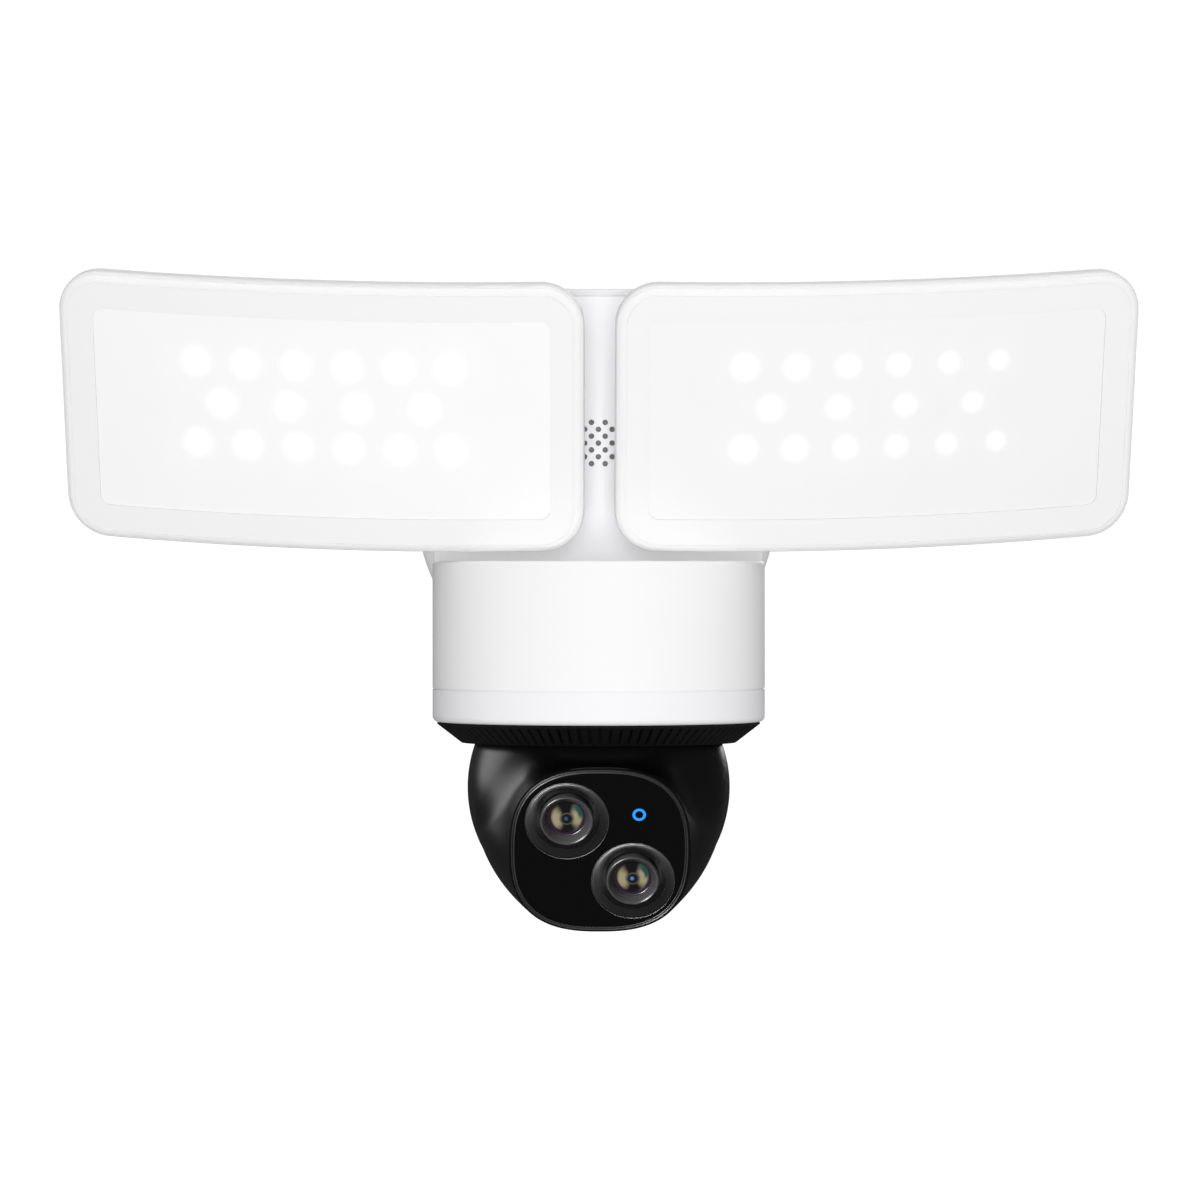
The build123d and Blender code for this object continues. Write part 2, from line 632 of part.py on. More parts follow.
def make_head_front():
    """The front shell of the ball with its nose."""
    keep = block(-60, 60, -60, 60, BALL_SPLIT, 60)
    shell = (Sphere(BALL_R) & keep) + nose(0)
    shell -= Sphere(BALL_R - BALL_WALL)
    shell -= nose(NOSE_WALL)
    shell -= extrude(squircle(FACE_HALF - 0.6, FACE_HALF - 0.6, FACE_FRONT - PLATE_T), PLATE_T)
    for side in (-1, 1):
        shell += rod_x(6, min(side * 36, side * 43), max(side * 36, side * 43))
    shell -= rod_x(SHAFT_R, -BOSS_END, BOSS_END)
    for x, y in HEAD_SCREWS:
        post = rod_z(3.2, BALL_SPLIT, BALL_SPLIT + 9, x, y) & Sphere(BALL_R - 1)
        shell += post
        shell -= rod_z(SCREW_R, BALL_SPLIT, BALL_SPLIT + 7, x, y)
    return shell - stem_slot()


def make_head_rear():
    """The rear shell of the ball."""
    keep = block(-60, 60, -60, 60, -60, BALL_SPLIT)
    shell = (Sphere(BALL_R) - Sphere(BALL_R - BALL_WALL)) & keep
    for x, y in HEAD_SCREWS:
        shell += rod_z(4.4, BALL_SPLIT - 12, BALL_SPLIT, x, y) & Sphere(BALL_R)
        shell -= rod_z(SCREW_R, BALL_SPLIT - 20, BALL_SPLIT, x, y)
        shell -= rod_z(SCREW_HEAD_R + 0.3, BALL_SPLIT - 30, BALL_SPLIT - 5, x, y)
    return shell - stem_slot()


def make_head_screws():
    """The screws that close the ball."""
    return [Pos(x, y, BALL_SPLIT - 5) * Rot(180, 0, 0) * screw(11.5) for x, y in HEAD_SCREWS]


def make_face_rim():
    """The thin bright-edged frame round the face plate."""
    outer = squircle(FACE_HALF - 0.6, FACE_HALF - 0.6, FACE_FRONT - PLATE_T)
    inner = squircle(FACE_HALF - 0.6 - RIM_W, FACE_HALF - 0.6 - RIM_W, FACE_FRONT - PLATE_T)
    return extrude(outer, PLATE_T + 0.3) - extrude(inner, PLATE_T + 0.3)


def make_face_plate():
    """The gloss black plate round the lenses."""
    half = FACE_HALF - 0.6 - RIM_W
    plate = extrude(squircle(half, half, FACE_FRONT - PLATE_T), PLATE_T)
    for x, y in LENS_AT.values():
        plate -= rod_z(LENS_RING_R - 0.6, FACE_FRONT - PLATE_T, FACE_FRONT - 1, x, y)
        plate -= rod_z(LENS_RING_R, FACE_FRONT - 1, FACE_FRONT, x, y)
    x, y = LIGHT_AT
    plate -= rod_z(LIGHT_R, FACE_FRONT - LIGHT_DEPTH, FACE_FRONT, x, y)
    plate += rod_z(LIGHT_BORE_R, FACE_FRONT - LIGHT_DEPTH, FACE_FRONT, x, y)
    for x, y in MIC_AT:
        plate -= rod_z(MIC_R, FACE_FRONT - PLATE_T, FACE_FRONT, x, y)
    return plate


def make_status_light():
    """The ring light guide in the face plate."""
    x, y = LIGHT_AT
    ring = rod_z(LIGHT_R, FACE_FRONT - LIGHT_DEPTH, FACE_FRONT, x, y)
    return ring - rod_z(LIGHT_BORE_R, FACE_FRONT - LIGHT_DEPTH, FACE_FRONT, x, y)


def make_lens_ring(lens):
    """The stepped trim ring round a lens."""
    x, y = LENS_AT[lens]
    f = FACE_FRONT
    ring = turned([
        (BARREL_R + 0.1, f - 3.4),
        (LENS_RING_R - 0.6, f - 3.4),
        (LENS_RING_R - 0.6, f - 1),
        (LENS_RING_R, f - 1),
        (LENS_RING_R, f + 0.25),
        (LENS_RING_R - 0.5, f + 0.45),
        (LENS_RING_R - 1.0, f + 0.25),
        (LENS_RING_R - 2.9, f - 1.5),
        (LENS_RING_R - 3.3, f - 1.5),
        (LENS_RING_R - 3.3, f - 2.2),
        (BARREL_R + 0.1, f - 2.4),
    ])
    return Pos(x, y, 0) * ring


def make_lens_barrel(lens):
    """The lens barrel, standing on the sensor board."""
    x, y = LENS_AT[lens]
    f = FACE_FRONT
    barrel = turned([
        (0, BOARD_FRONT),
        (BARREL_R, BOARD_FRONT),
        (BARREL_R, f + 0.3),
        (BARREL_R - 0.5, f + 0.8),
        (BARREL_R - 1.0, f + 0.8),
        (GLASS_R + 0.4, f - 1.6),
        (GLASS_R, f - 2.2),
        (GLASS_R, f - 5),
        (0, f - 5),
    ])
    return Pos(x, y, 0) * barrel


def make_lens_glass(lens):
    """The domed front element."""
    x, y = LENS_AT[lens]
    base = FACE_FRONT - 5
    rise = 2.6
    edge_z = base + 2.4
    curve_r = (GLASS_R**2 + rise**2) / (2 * rise)
    dome = Pos(0, 0, edge_z + rise - curve_r) * Sphere(curve_r)
    glass = rod_z(GLASS_R, base, edge_z + rise + 1) & (dome + rod_z(GLASS_R, base, edge_z))
    return Pos(x, y, 0) * glass


def make_sensor_board():
    """The board that carries both image sensors."""
    board = block(-24, 24, -23, 23, BOARD_FRONT - 1.6, BOARD_FRONT)
    board = fillet(board.edges().filter_by(Axis.Z), 5)
    return board + block(-9, 9, -9, 9, BOARD_FRONT - 4, BOARD_FRONT - 1.6)


# ---------------------------------------------------------------- light panels
# A panel is laid out with its face centre at the origin, looking along -Y, with +Z its own up,
# and is then turned to its rest pose by panel_place.

def panel_place(shape):
    """Turn a piece from the layout above to its place on the right of the lamp."""
    return Pos(*PANEL_AT) * Rot(PANEL_TILT, 0, 0) * Rot(0, 0, PANEL_TOE) * Rot(0, PANEL_ROLL, 0) * shape


def panel_face(left, right, top, bottom, corner):
    """The panel's outline set in from its edges: a rounded shape a little wider at the top."""
    lean = math.tan(math.radians(PANEL_TAPER))
    z_top = PANEL_H / 2 - top
    z_bottom = -PANEL_H / 2 + bottom
    half = PANEL_W / 2
    points = [
        (-half + left - z_bottom * lean, z_bottom),
        (half - right + z_bottom * lean, z_bottom),
        (half - right + z_top * lean, z_top),
        (-half + left - z_top * lean, z_top),
    ]
    outline = make_face(Polyline(*points, close=True))
    return fillet(outline.vertices(), corner)


def panel_block(inset, corner=None):
    """A straight block with the panel's outline, much deeper than the panel."""
    corner = PANEL_CORNER_R - inset if corner is None else corner
    face = panel_face(inset, inset, inset, inset, corner)
    return Rot(90, 0, 0) * extrude(face, 60, both=True)


def window_block(spread):
    """A straight block with the window's outline, spread outwards by a margin."""
    face = panel_face(
        WINDOW_INNER - spread, WINDOW_OUTER - spread, WINDOW_TOP - spread, WINDOW_BOTTOM - spread,
        WINDOW_CORNER_R + spread,
    )
    return Rot(90, 0, 0) * extrude(face, 60, both=True)


def bent_slab(depth0, depth1):
    """The space between two depths behind the bent front surface."""
    tall = PANEL_H + 20
    outer = Pos(0, PANEL_BEND_R, 0) * Cylinder(PANEL_BEND_R - depth0, tall)
    inner = Pos(0, PANEL_BEND_R, 0) * Cylinder(PANEL_BEND_R - depth1, tall)
    return (outer - inner) & block(-PANEL_W, PANEL_W, -40, 60, -tall, tall)


def bent_faces(body):
    """The bent front and rear faces of a slab, which are its two largest."""
    largest = body.faces().filter_by(GeomType.CYLINDER).sort_by(SortBy.AREA)[-2:]
    return sorted(largest, key=lambda face: face.center().Y)


def panel_body():
    """The whole panel: a small round along its front edge and a large one along its back."""
    body = bent_slab(0, PANEL_DEPTH) & panel_block(0)
    body = fillet(bent_faces(body)[0].edges(), PANEL_EDGE_R)
    return fillet(bent_faces(body)[1].edges(), PANEL_BACK_R)


def panel_cavity():
    """The hollow inside the panel, open in front."""
    cavity = bent_slab(-1, PANEL_DEPTH - PANEL_WALL) & panel_block(PANEL_WALL)
    return fillet(bent_faces(cavity)[1].edges(), PANEL_BACK_R - PANEL_WALL)


def make_frame():
    """The front frame round the window, with a fine groove where its flat face ends."""
    frame = panel_body() & bent_slab(-1, FRAME_DEPTH)
    frame += bent_slab(FRAME_DEPTH, PANEL_WALL) & panel_block(PANEL_WALL + 0.1)
    groove = panel_block(PANEL_EDGE_R) - panel_block(PANEL_EDGE_R + FACE_GROOVE_W)
    frame -= bent_slab(-1, FACE_GROOVE_DEPTH) & groove
    return frame - (bent_slab(-1, PANEL_WALL + 1) & window_block(0))


def make_diffuser():
    """The frosted window, with a flange behind the frame."""
    window = bent_slab(0.25, PANEL_WALL) & window_block(-0.05)
    flange = bent_slab(PANEL_WALL, PANEL_WALL + 1.6) & window_block(3)
    return window + flange


def make_housing():
    """The rear housing, with a reveal groove against the frame."""
    back = FRAME_DEPTH + PANEL_SEAM
    housing = panel_body() & bent_slab(back, PANEL_DEPTH + 1)
    housing += bent_slab(FRAME_DEPTH, back) & panel_block(PANEL_EDGE_R / 2)
    housing -= panel_cavity()
    for x, z in PANEL_SCREWS:
        housing -= rod_y(SCREW_R, 5, 30, x, z)
    return housing - rod_y(3.5, 5, 30, 0, 0)


def led_places():
    """The centres of the lamps on the board: rows of six, four and six."""
    rows = ((1, 6, LED_PITCH), (0, 4, LED_MIDDLE_PITCH), (-1, 6, LED_PITCH))
    return [
        ((i - (count - 1) / 2) * pitch - LED_INWARD, LED_UP + row * LED_ROW_PITCH)
        for row, count, pitch in rows
        for i in range(count)
    ]


def make_led_board():
    """The aluminium board under the lamps, on a spacer that touches the housing."""
    board = block(-56, 56, LED_BOARD_Y, LED_BOARD_Y + 1.6, LED_UP - 24, LED_UP + 24)
    board = fillet(board.edges().filter_by(Axis.Y), 4)
    back = LED_BOARD_Y + 1.6
    for side in (-1, 1):
        pad = block(side * 28 - 12, side * 28 + 12, back, PANEL_DEPTH, LED_UP - 16, LED_UP + 16)
        board += pad & bent_slab(0, PANEL_DEPTH - PANEL_WALL)
    return board


def make_leds():
    """The lamps."""
    half = LED_SIZE / 2
    return [block(x - half, x + half, LED_BOARD_Y - 1, LED_BOARD_Y, z - half, z + half) for x, z in led_places()]


def make_socket():
    """The cup on the panel's back that holds the ball seat."""
    cup = rod_y(SOCKET_R, PANEL_DEPTH - 0.4, JOINT_BACK + 1.5)
    cup += rod_y(COLLAR_R + 2, PANEL_DEPTH - 0.4, PANEL_DEPTH + 2.5)
    cup -= bent_slab(0, PANEL_DEPTH)
    cup -= Pos(0, JOINT_BACK, 0) * Sphere(SEAT_R + JOINT_GAP)
    for x, z in PANEL_SCREWS:
        cup -= rod_y(SCREW_R, 5, 30, x, z)
    return cup - rod_y(3.5, 5, 30, 0, 0)


def make_collar():
    """The knurled ring that clamps the ball seat."""
    front = JOINT_BACK + 1.5
    ring = rod_y(COLLAR_R, JOINT_BACK - 6, JOINT_BACK + 9)
    ring = fillet(ring.edges().group_by(Axis.Y)[-1], 2.5)
    ring -= rod_y(SOCKET_R, JOINT_BACK - 6, front)
    ring -= Pos(0, JOINT_BACK, 0) * Sphere(SEAT_R + JOINT_GAP)
    ring -= neck_cone(NECK_OPENING)
    knurl = [
        Pos(0, JOINT_BACK, 0) * Rot(0, 15 * i, 0) * rod_y(1.3, -7, 5, COLLAR_R + 0.3, 0)
        for i in range(24)
    ]
    return ring - knurl


def neck_cone(half_angle):
    """The cone round the arm's neck that opens from the joint's centre backwards."""
    reach = 40.0
    cone = turned([(0, 0), (reach * math.tan(math.radians(half_angle)), reach), (0, reach)])
    return Pos(0, JOINT_BACK, 0) * Rot(-90, 0, 0) * cone


def make_ball_seat():
    """The nylon seat round the arm's ball."""
    seat = Sphere(SEAT_R) - Sphere(JOINT_BALL_R + JOINT_GAP)
    seat = Pos(0, JOINT_BACK, 0) * seat
    return seat - neck_cone(NECK_OPENING + 3)


def make_arm():
    """The right arm, from its flange on the body's side to the joint's ball."""
    start = JOINT_CENTRE + ARM_DIRECTION * (JOINT_BALL_R - 1)
    corner = JOINT_CENTRE + ARM_DIRECTION * ((ARM_Y - JOINT_CENTRE.Y) / ARM_DIRECTION.Y)
    end = Vector(DRUM_R + 2, corner.Y, corner.Z)
    path = FilletPolyline(start, corner, end, radius=ARM_BEND_R)
    ring = Plane(origin=start, z_dir=ARM_DIRECTION) * Circle(ARM_R)
    tube = sweep(ring, path=path)
    neck_length = 9.0
    neck = Plane(origin=start, z_dir=ARM_DIRECTION)
    cut = neck * Pos(0, 0, neck_length / 2) * (
        Cylinder(2 * ARM_R, neck_length) - Cone(ARM_NECK_R, ARM_R, neck_length)
    )
    arm = tube - cut + Pos(*JOINT_CENTRE) * Sphere(JOINT_BALL_R)
    flange = rod_x(ARM_FLANGE_R, DRUM_R, DRUM_R + 3, ARM_Y, corner.Z)
    flange = fillet(flange.edges().group_by(Axis.X)[-1], 1.2)
    arm += flange
    for y, z in ARM_SCREWS:
        arm -= rod_x(SCREW_R, DRUM_R, DRUM_R + 2, y, z)
    return arm


# ---------------------------------------------------------------- worked-out places

GLAND_R = 6.0
BEARING_OUTER_R = 49.0
BEARING_TOP_Z = RING_BOTTOM_Z + WALL + 1.5
PAN_CENTRE = PAN_MODULE * (PAN_RING_TEETH - PAN_PINION_TEETH) / 2
PAN_GEAR_Z = TURNTABLE_TOP_Z + 0.3
PAN_GEAR_TOP_Z = PAN_GEAR_Z + PAN_GEAR_W
TILT_OFFSET = TILT_MODULE * (TILT_GEAR_TEETH + TILT_PINION_TEETH) / 2 * math.sqrt(0.5)
BOSS_END = 40.0
LUG_SCREWS = [(x, BASE_Z + z) for x in (-15, 15) for z in (-11, 11)]
FORK_SCREWS = [(0, BASE_Z + 16), (0, BASE_Z - 16)]
RING_POSTS = [(x, 52.0) for x in (-30, 30)]
YOKE_SCREWS = [(x, y) for x in (-10, 10) for y in (-9, 9)]
HEAD_SCREWS = [(-36.5, -6.0), (36.5, -6.0), (0.0, -37.0)]
PANEL_SCREWS = [(x, z) for x in (-13, 13) for z in (-13, 13)]
JOINT_CENTRE = panel_place(Pos(0, JOINT_BACK, 0)).position
ARM_DIRECTION = Vector(-0.33, 0.90, 0.28).normalized()
ARM_BEND_R = 12.0
ARM_Z = JOINT_CENTRE.Z + ARM_DIRECTION.Z * (ARM_Y - JOINT_CENTRE.Y) / ARM_DIRECTION.Y
ARM_SCREWS = [(ARM_Y, ARM_Z - 7.5), (ARM_Y, ARM_Z + 7.5)]


# ---------------------------------------------------------------- writing the nodes

save("mounting_bracket", make_mounting_bracket())
save("bracket_studs", *make_bracket_studs())
save("cap_nuts", *make_cap_nuts())
save("base_canopy", make_base_canopy())
save("base_gasket", make_base_gasket())
save("neck_fork", make_neck_fork())
save("fork_screws", *make_fork_screws())
save("neck_bolt", *make_neck_bolt())
save("wire_gland", make_wire_gland())

save("body_shell", make_body_shell())
save("front_plate", make_front_plate())
save("top_cap", make_top_cap())
save("bottom_ring", make_bottom_ring())
save("body_screws", *make_body_screws())
save("neck_lug", make_neck_lug())
save("speaker", make_speaker())
save("main_board", make_main_board())
save("power_board", make_power_board())
save("pan_motor", make_pan_motor())
save("pan_bearing", make_pan_bearing())
save("pan_pinion", make_pan_pinion())
save("sync_button", make_sync_button())

save("turntable", make_turntable())
save("vent_ring", make_vent_ring())
save("tilt_yoke", make_tilt_yoke())
save("yoke_screws", *make_yoke_screws())
save("tilt_motor", make_tilt_motor())
save("tilt_pinion", make_tilt_pinion())
save("tilt_gear", make_tilt_gear())

save("head_front", ball_place(make_head_front()))
save("head_rear", ball_place(make_head_rear()))
save("head_screws", *[ball_place(s) for s in make_head_screws()])
save("face_rim", ball_place(make_face_rim()))
save("face_plate", ball_place(make_face_plate()))
save("status_light", ball_place(make_status_light()))
save("sensor_board", ball_place(make_sensor_board()))
for lens in LENS_AT:
    save(f"{lens}_lens_ring", ball_place(make_lens_ring(lens)))
    save(f"{lens}_lens_barrel", ball_place(make_lens_barrel(lens)))
    save(f"{lens}_lens_glass", ball_place(make_lens_glass(lens)))

arm = make_arm()
save("right_arm", arm)
save("left_arm", mirror(arm, about=Plane.YZ))
panel = {
    "frame": [make_frame()],
    "diffuser": [make_diffuser()],
    "housing": [make_housing()],
    "led_board": [make_led_board()],
    "leds": make_leds(),
    "socket": [make_socket()],
    "collar": [make_collar()],
    "ball_seat": [make_ball_seat()],
}
for piece, solids in panel.items():
    placed = [panel_place(solid) for solid in solids]
    save(f"right_{piece}", *placed)
    save(f"left_{piece}", *[mirror(solid, about=Plane.YZ) for solid in placed])
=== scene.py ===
import json
import math

import bpy
import bmesh
from mathutils import Matrix, Vector
from mathutils.bvhtree import BVHTree


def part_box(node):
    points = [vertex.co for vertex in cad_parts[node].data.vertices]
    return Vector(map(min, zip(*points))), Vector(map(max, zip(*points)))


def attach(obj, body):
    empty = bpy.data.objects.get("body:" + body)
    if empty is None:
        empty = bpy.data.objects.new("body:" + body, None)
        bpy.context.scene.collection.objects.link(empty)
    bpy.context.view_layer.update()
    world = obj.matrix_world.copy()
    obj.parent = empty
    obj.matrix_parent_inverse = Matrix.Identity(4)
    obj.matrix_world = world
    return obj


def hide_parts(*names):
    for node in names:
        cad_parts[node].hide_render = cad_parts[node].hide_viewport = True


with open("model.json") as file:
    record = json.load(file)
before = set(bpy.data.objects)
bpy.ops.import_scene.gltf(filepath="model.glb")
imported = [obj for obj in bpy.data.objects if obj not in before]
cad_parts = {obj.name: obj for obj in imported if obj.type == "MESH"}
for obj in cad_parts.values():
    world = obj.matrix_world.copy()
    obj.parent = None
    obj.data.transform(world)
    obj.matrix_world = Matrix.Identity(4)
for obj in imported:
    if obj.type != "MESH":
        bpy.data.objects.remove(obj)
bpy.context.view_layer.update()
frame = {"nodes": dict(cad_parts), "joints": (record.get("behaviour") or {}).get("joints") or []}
scene = bpy.context.scene
nodes = frame["nodes"]

MM = 0.001
SIDES = ("left", "right")
LENSES = ("wide", "tele")

# The camera ball, in millimetres and degrees. Its face looks along +Z of its own frame.
FACE_TILT = 23.0  # how far the face looks down at rest
FACE_FRONT = 50.3  # from the ball's centre to the face
FACE_HALF = 30.3  # half the face's width and height
FACE_POWER = 2.65  # the power of the face's superellipse: 2 is a circle
BALL_R = 44.9
BALL_SPLIT = -15.0  # where the front shell meets the rear one
WALL = 2.4
LEAN_UP = -17  # the upper side's lean behind the face's edge, in degrees: inwards
LEAN_MORE = 4  # what the middle of the top leans beyond that
BLEND = 15.0  # how widely the upper side blends into the ball
BLEND_LESS = 7.0  # and how much less at the middle of the top
BULGE = 1.6  # how far the lower side swells past a straight line
BULGE_LESS = 0.4  # and how much less at the middle of the bottom
SLOT_R = 42.4  # the inside of the wall that the yoke's stem passes through
SLOT_HALF_WIDTH = 15.0
STEM_HALF = 7.0  # half the stem's depth, front to back

# The lenses and the speaker's cloth, in millimetres; its threads' pitch in metres.
BARREL_R = 8.85
GLASS_R = 6.25
CLOTH_R = 17.2
THREAD_PITCH = 0.0004

# The lamp windows, with the lamps' glow painted on them as emission. A painted spot's size changes from the
# first to the last number, inner lamp to outer.
PAINTED_SPOT_SIZE = {"left": (0.0053, 0.0053), "right": (0.0050, 0.0036)}
PAINTED_SPOT_SHIFT = {"left": (0.00135, 0, 0.0024), "right": (-0.0029, 0, 0.0030)}
# Each window's white; the right one is painted a little darker, as painted shade.
WINDOW_WHITE_AND_PAINTED_SHADE = {"left": 0.896, "right": 0.872}
# A faint painted glow, given as emission, over the whole left window.
WINDOW_PAINTED_GLOW = {"left": 0.012, "right": 0.0}

# The surround's brightness as light on a matt surface, and in a reflection.
AMBIENT = 0.40
AMBIENT_GLOSS = 0.05
LAMP_AIM = (0, -0.1, 0)

# The camera's place and aim, in metres, from the head's pan axis and the ledge under the flat plate.
CAMERA_BACK = 2.055
CAMERA_LEFT = 0.018
AIM_RIGHT = 0.00046
AIM_DOWN = 0.0134

WHITE = (0.86, 0.86, 0.862)
COOL_WHITE = (0.845, 0.845, 0.862)
BLACK = (0.0032, 0.0032, 0.0034)
# Colours of the reflections painted on the lenses' front elements: amber lobes, a teal arc and the pupil's
# blue glint.
PAINTED_AMBER_REFLECTION = (0.34, 0.29, 0.18)
PAINTED_TEAL_REFLECTION = (0.008, 0.07, 0.062)
GLINT = {"wide": (0.05, 0.08, 0.16), "tele": (0.10, 0.22, 0.62)}


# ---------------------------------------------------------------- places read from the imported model

def joint_named(name):
    """A joint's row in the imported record."""
    return next(j for j in frame["joints"] if j["name"] == name)


def joint_place(name):
    """A joint's position in the row frame."""
    return Vector(joint_named(name)["pos_m"])


def box_in(place, node):
    """A node's lowest and highest corners in another frame, in millimetres."""
    inverse = place.inverted()
    corners = [inverse @ v.co for v in nodes[node].data.vertices]
    lo = Vector([min(c[i] for c in corners) for i in range(3)]) / MM
    hi = Vector([max(c[i] for c in corners) for i in range(3)]) / MM
    return lo, hi


def islands(node):
    """The separate solids of a node, each as a list of points in the row frame."""
    bm = bmesh.new()
    bm.from_mesh(nodes[node].data)
    bmesh.ops.remove_doubles(bm, verts=bm.verts, dist=1e-7)
    left = set(bm.verts)
    found = []
    while left:
        stack = [left.pop()]
        group = []
        while stack:
            vert = stack.pop()
            group.append(vert.co.copy())
            for edge in vert.link_edges:
                other = edge.other_vert(vert)
                if other in left:
                    left.remove(other)
                    stack.append(other)
        found.append(group)
    bm.free()
    found.sort(key=lambda g: tuple(round(c, 5) for c in sum(g, Vector()) / len(g)))
    return found


def middle(points):
    """The centre of the box round some points."""
    return Vector([(min(p[i] for p in points) + max(p[i] for p in points)) / 2 for i in range(3)])


BALL_AT = joint_place("head_tilt")
FACE = Matrix.Translation(BALL_AT) @ Matrix.Rotation(math.radians(90 + FACE_TILT), 4, "X")


# ---------------------------------------------------------------- camera and light

def look(obj, at):
    """Turn a camera or light towards a point."""
    obj.rotation_mode = "QUATERNION"
    obj.rotation_quaternion = (Vector(at) - obj.location).to_track_quat("-Z", "Y")


def make_camera():
    """The camera: far off, level with the ledge under the flat plate, and a little to the left."""
    pan = joint_place("head_pan")
    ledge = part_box("front_plate")[0].z
    data = bpy.data.cameras.new("camera")
    data.lens = 180
    data.sensor_width = 36
    camera = bpy.data.objects.new("camera", data)
    scene.collection.objects.link(camera)
    camera.location = Vector((pan.x - CAMERA_LEFT, pan.y - CAMERA_BACK, ledge))
    look(camera, (pan.x + AIM_RIGHT, pan.y, ledge - AIM_DOWN))
    scene.camera = camera


def soft_light(name, at, towards, size, power, glossy=False):
    """A rectangular studio light."""
    data = bpy.data.lights.new(name, "AREA")
    data.shape = "RECTANGLE"
    data.size, data.size_y = size
    data.energy = power
    lamp = bpy.data.objects.new(name, data)
    scene.collection.objects.link(lamp)
    lamp.location = at
    look(lamp, towards)
    lamp.visible_glossy = glossy
    lamp.visible_transmission = False
    lamp.visible_camera = False
    return lamp


def make_world():
    """A white surround: full white to the eye, a softer white as light, and dim in reflections."""
    world = bpy.data.worlds.new("surround")
    scene.world = world
    world.use_nodes = True
    tree = world.node_tree
    tree.nodes.clear()
    path = tree.nodes.new("ShaderNodeLightPath")
    shades = []
    for strength in (1.1, AMBIENT, AMBIENT_GLOSS):
        shade_node = tree.nodes.new("ShaderNodeBackground")
        shade_node.inputs["Color"].default_value = (1, 1, 1, 1)
        shade_node.inputs["Strength"].default_value = strength
        shades.append(shade_node)
    seen, lit, mirrored = shades
    first = tree.nodes.new("ShaderNodeMixShader")
    second = tree.nodes.new("ShaderNodeMixShader")
    out = tree.nodes.new("ShaderNodeOutputWorld")
    indirect = tree.nodes.new("ShaderNodeMath")
    indirect.operation = "MAXIMUM"
    tree.links.new(path.outputs["Is Glossy Ray"], indirect.inputs[0])
    tree.links.new(path.outputs["Is Transmission Ray"], indirect.inputs[1])
    tree.links.new(indirect.outputs[0], first.inputs[0])
    tree.links.new(lit.outputs[0], first.inputs[1])
    tree.links.new(mirrored.outputs[0], first.inputs[2])
    tree.links.new(path.outputs["Is Camera Ray"], second.inputs[0])
    tree.links.new(first.outputs[0], second.inputs[1])
    tree.links.new(seen.outputs[0], second.inputs[2])
    tree.links.new(second.outputs[0], out.inputs[0])


def make_floor():
    """A plain pale floor, well below the lamp."""
    mesh = bpy.data.meshes.new("floor")
    mesh.from_pydata([(-20, -20, 0), (20, -20, 0), (20, 20, 0), (-20, 20, 0)], [], [(0, 1, 2, 3)])
    floor = bpy.data.objects.new("floor", mesh)
    scene.collection.objects.link(floor)
    floor.location.z = -1.5
    finish = bpy.data.materials.new("floor")
    finish.use_nodes = True
    shader = finish.node_tree.nodes["Principled BSDF"]
    shader.inputs["Base Color"].default_value = (0.9, 0.9, 0.9, 1)
    shader.inputs["Roughness"].default_value = 0.9
    shader.inputs["Specular IOR Level"].default_value = 0.0
    shader.inputs["Emission Color"].default_value = (1, 1, 1, 1)
    shader.inputs["Emission Strength"].default_value = 1.2
    mesh.materials.append(finish)
    floor.visible_glossy = False
    floor.visible_diffuse = False


scene.view_settings.view_transform = "Standard"
make_camera()
make_world()
make_floor()
soft_light("front", (-0.02, -2.3, -0.08), LAMP_AIM, (0.45, 0.9), 28.5)
soft_light("right_front", (0.9, -2.0, 0.1), LAMP_AIM, (0.6, 0.6), 2.0)
soft_light("above", (-0.1, -0.25, 1.6), LAMP_AIM, (1.2, 1.0), 6.0)
soft_light("left_side", (-1.5, -0.7, 0.1), LAMP_AIM, (0.8, 1.0), 2.8)
soft_light("right_side", (1.5, -0.6, 0.1), LAMP_AIM, (0.8, 1.0), 3.3)
soft_light("rear", (0.3, 2.2, 0.6), LAMP_AIM, (1.6, 1.2), 16.0, glossy=True)
plate_fill = soft_light("plate_fill", (0, -2.3, 0.0), LAMP_AIM, (0.6, 0.6), 5.2)
plate_fill.data.use_shadow = False
ball_glow = soft_light(
    "ball_glow", (-0.66, 0.1, 0.14), (0, -0.113, -0.1), (0.45, 0.45), 1.7, glossy=True
)
lens_glow = soft_light(
    "lens_glow", (0.12, -0.083, -0.68), (0, -0.15, -0.1), (0.35, 0.35), 14.0, glossy=True
)
barrel_glow = soft_light(
    "barrel_glow", (-0.57, -0.75, 0.1), (0, -0.15, -0.1), (0.5, 0.45), 26.0, glossy=True
)


# ---------------------------------------------------------------- materials

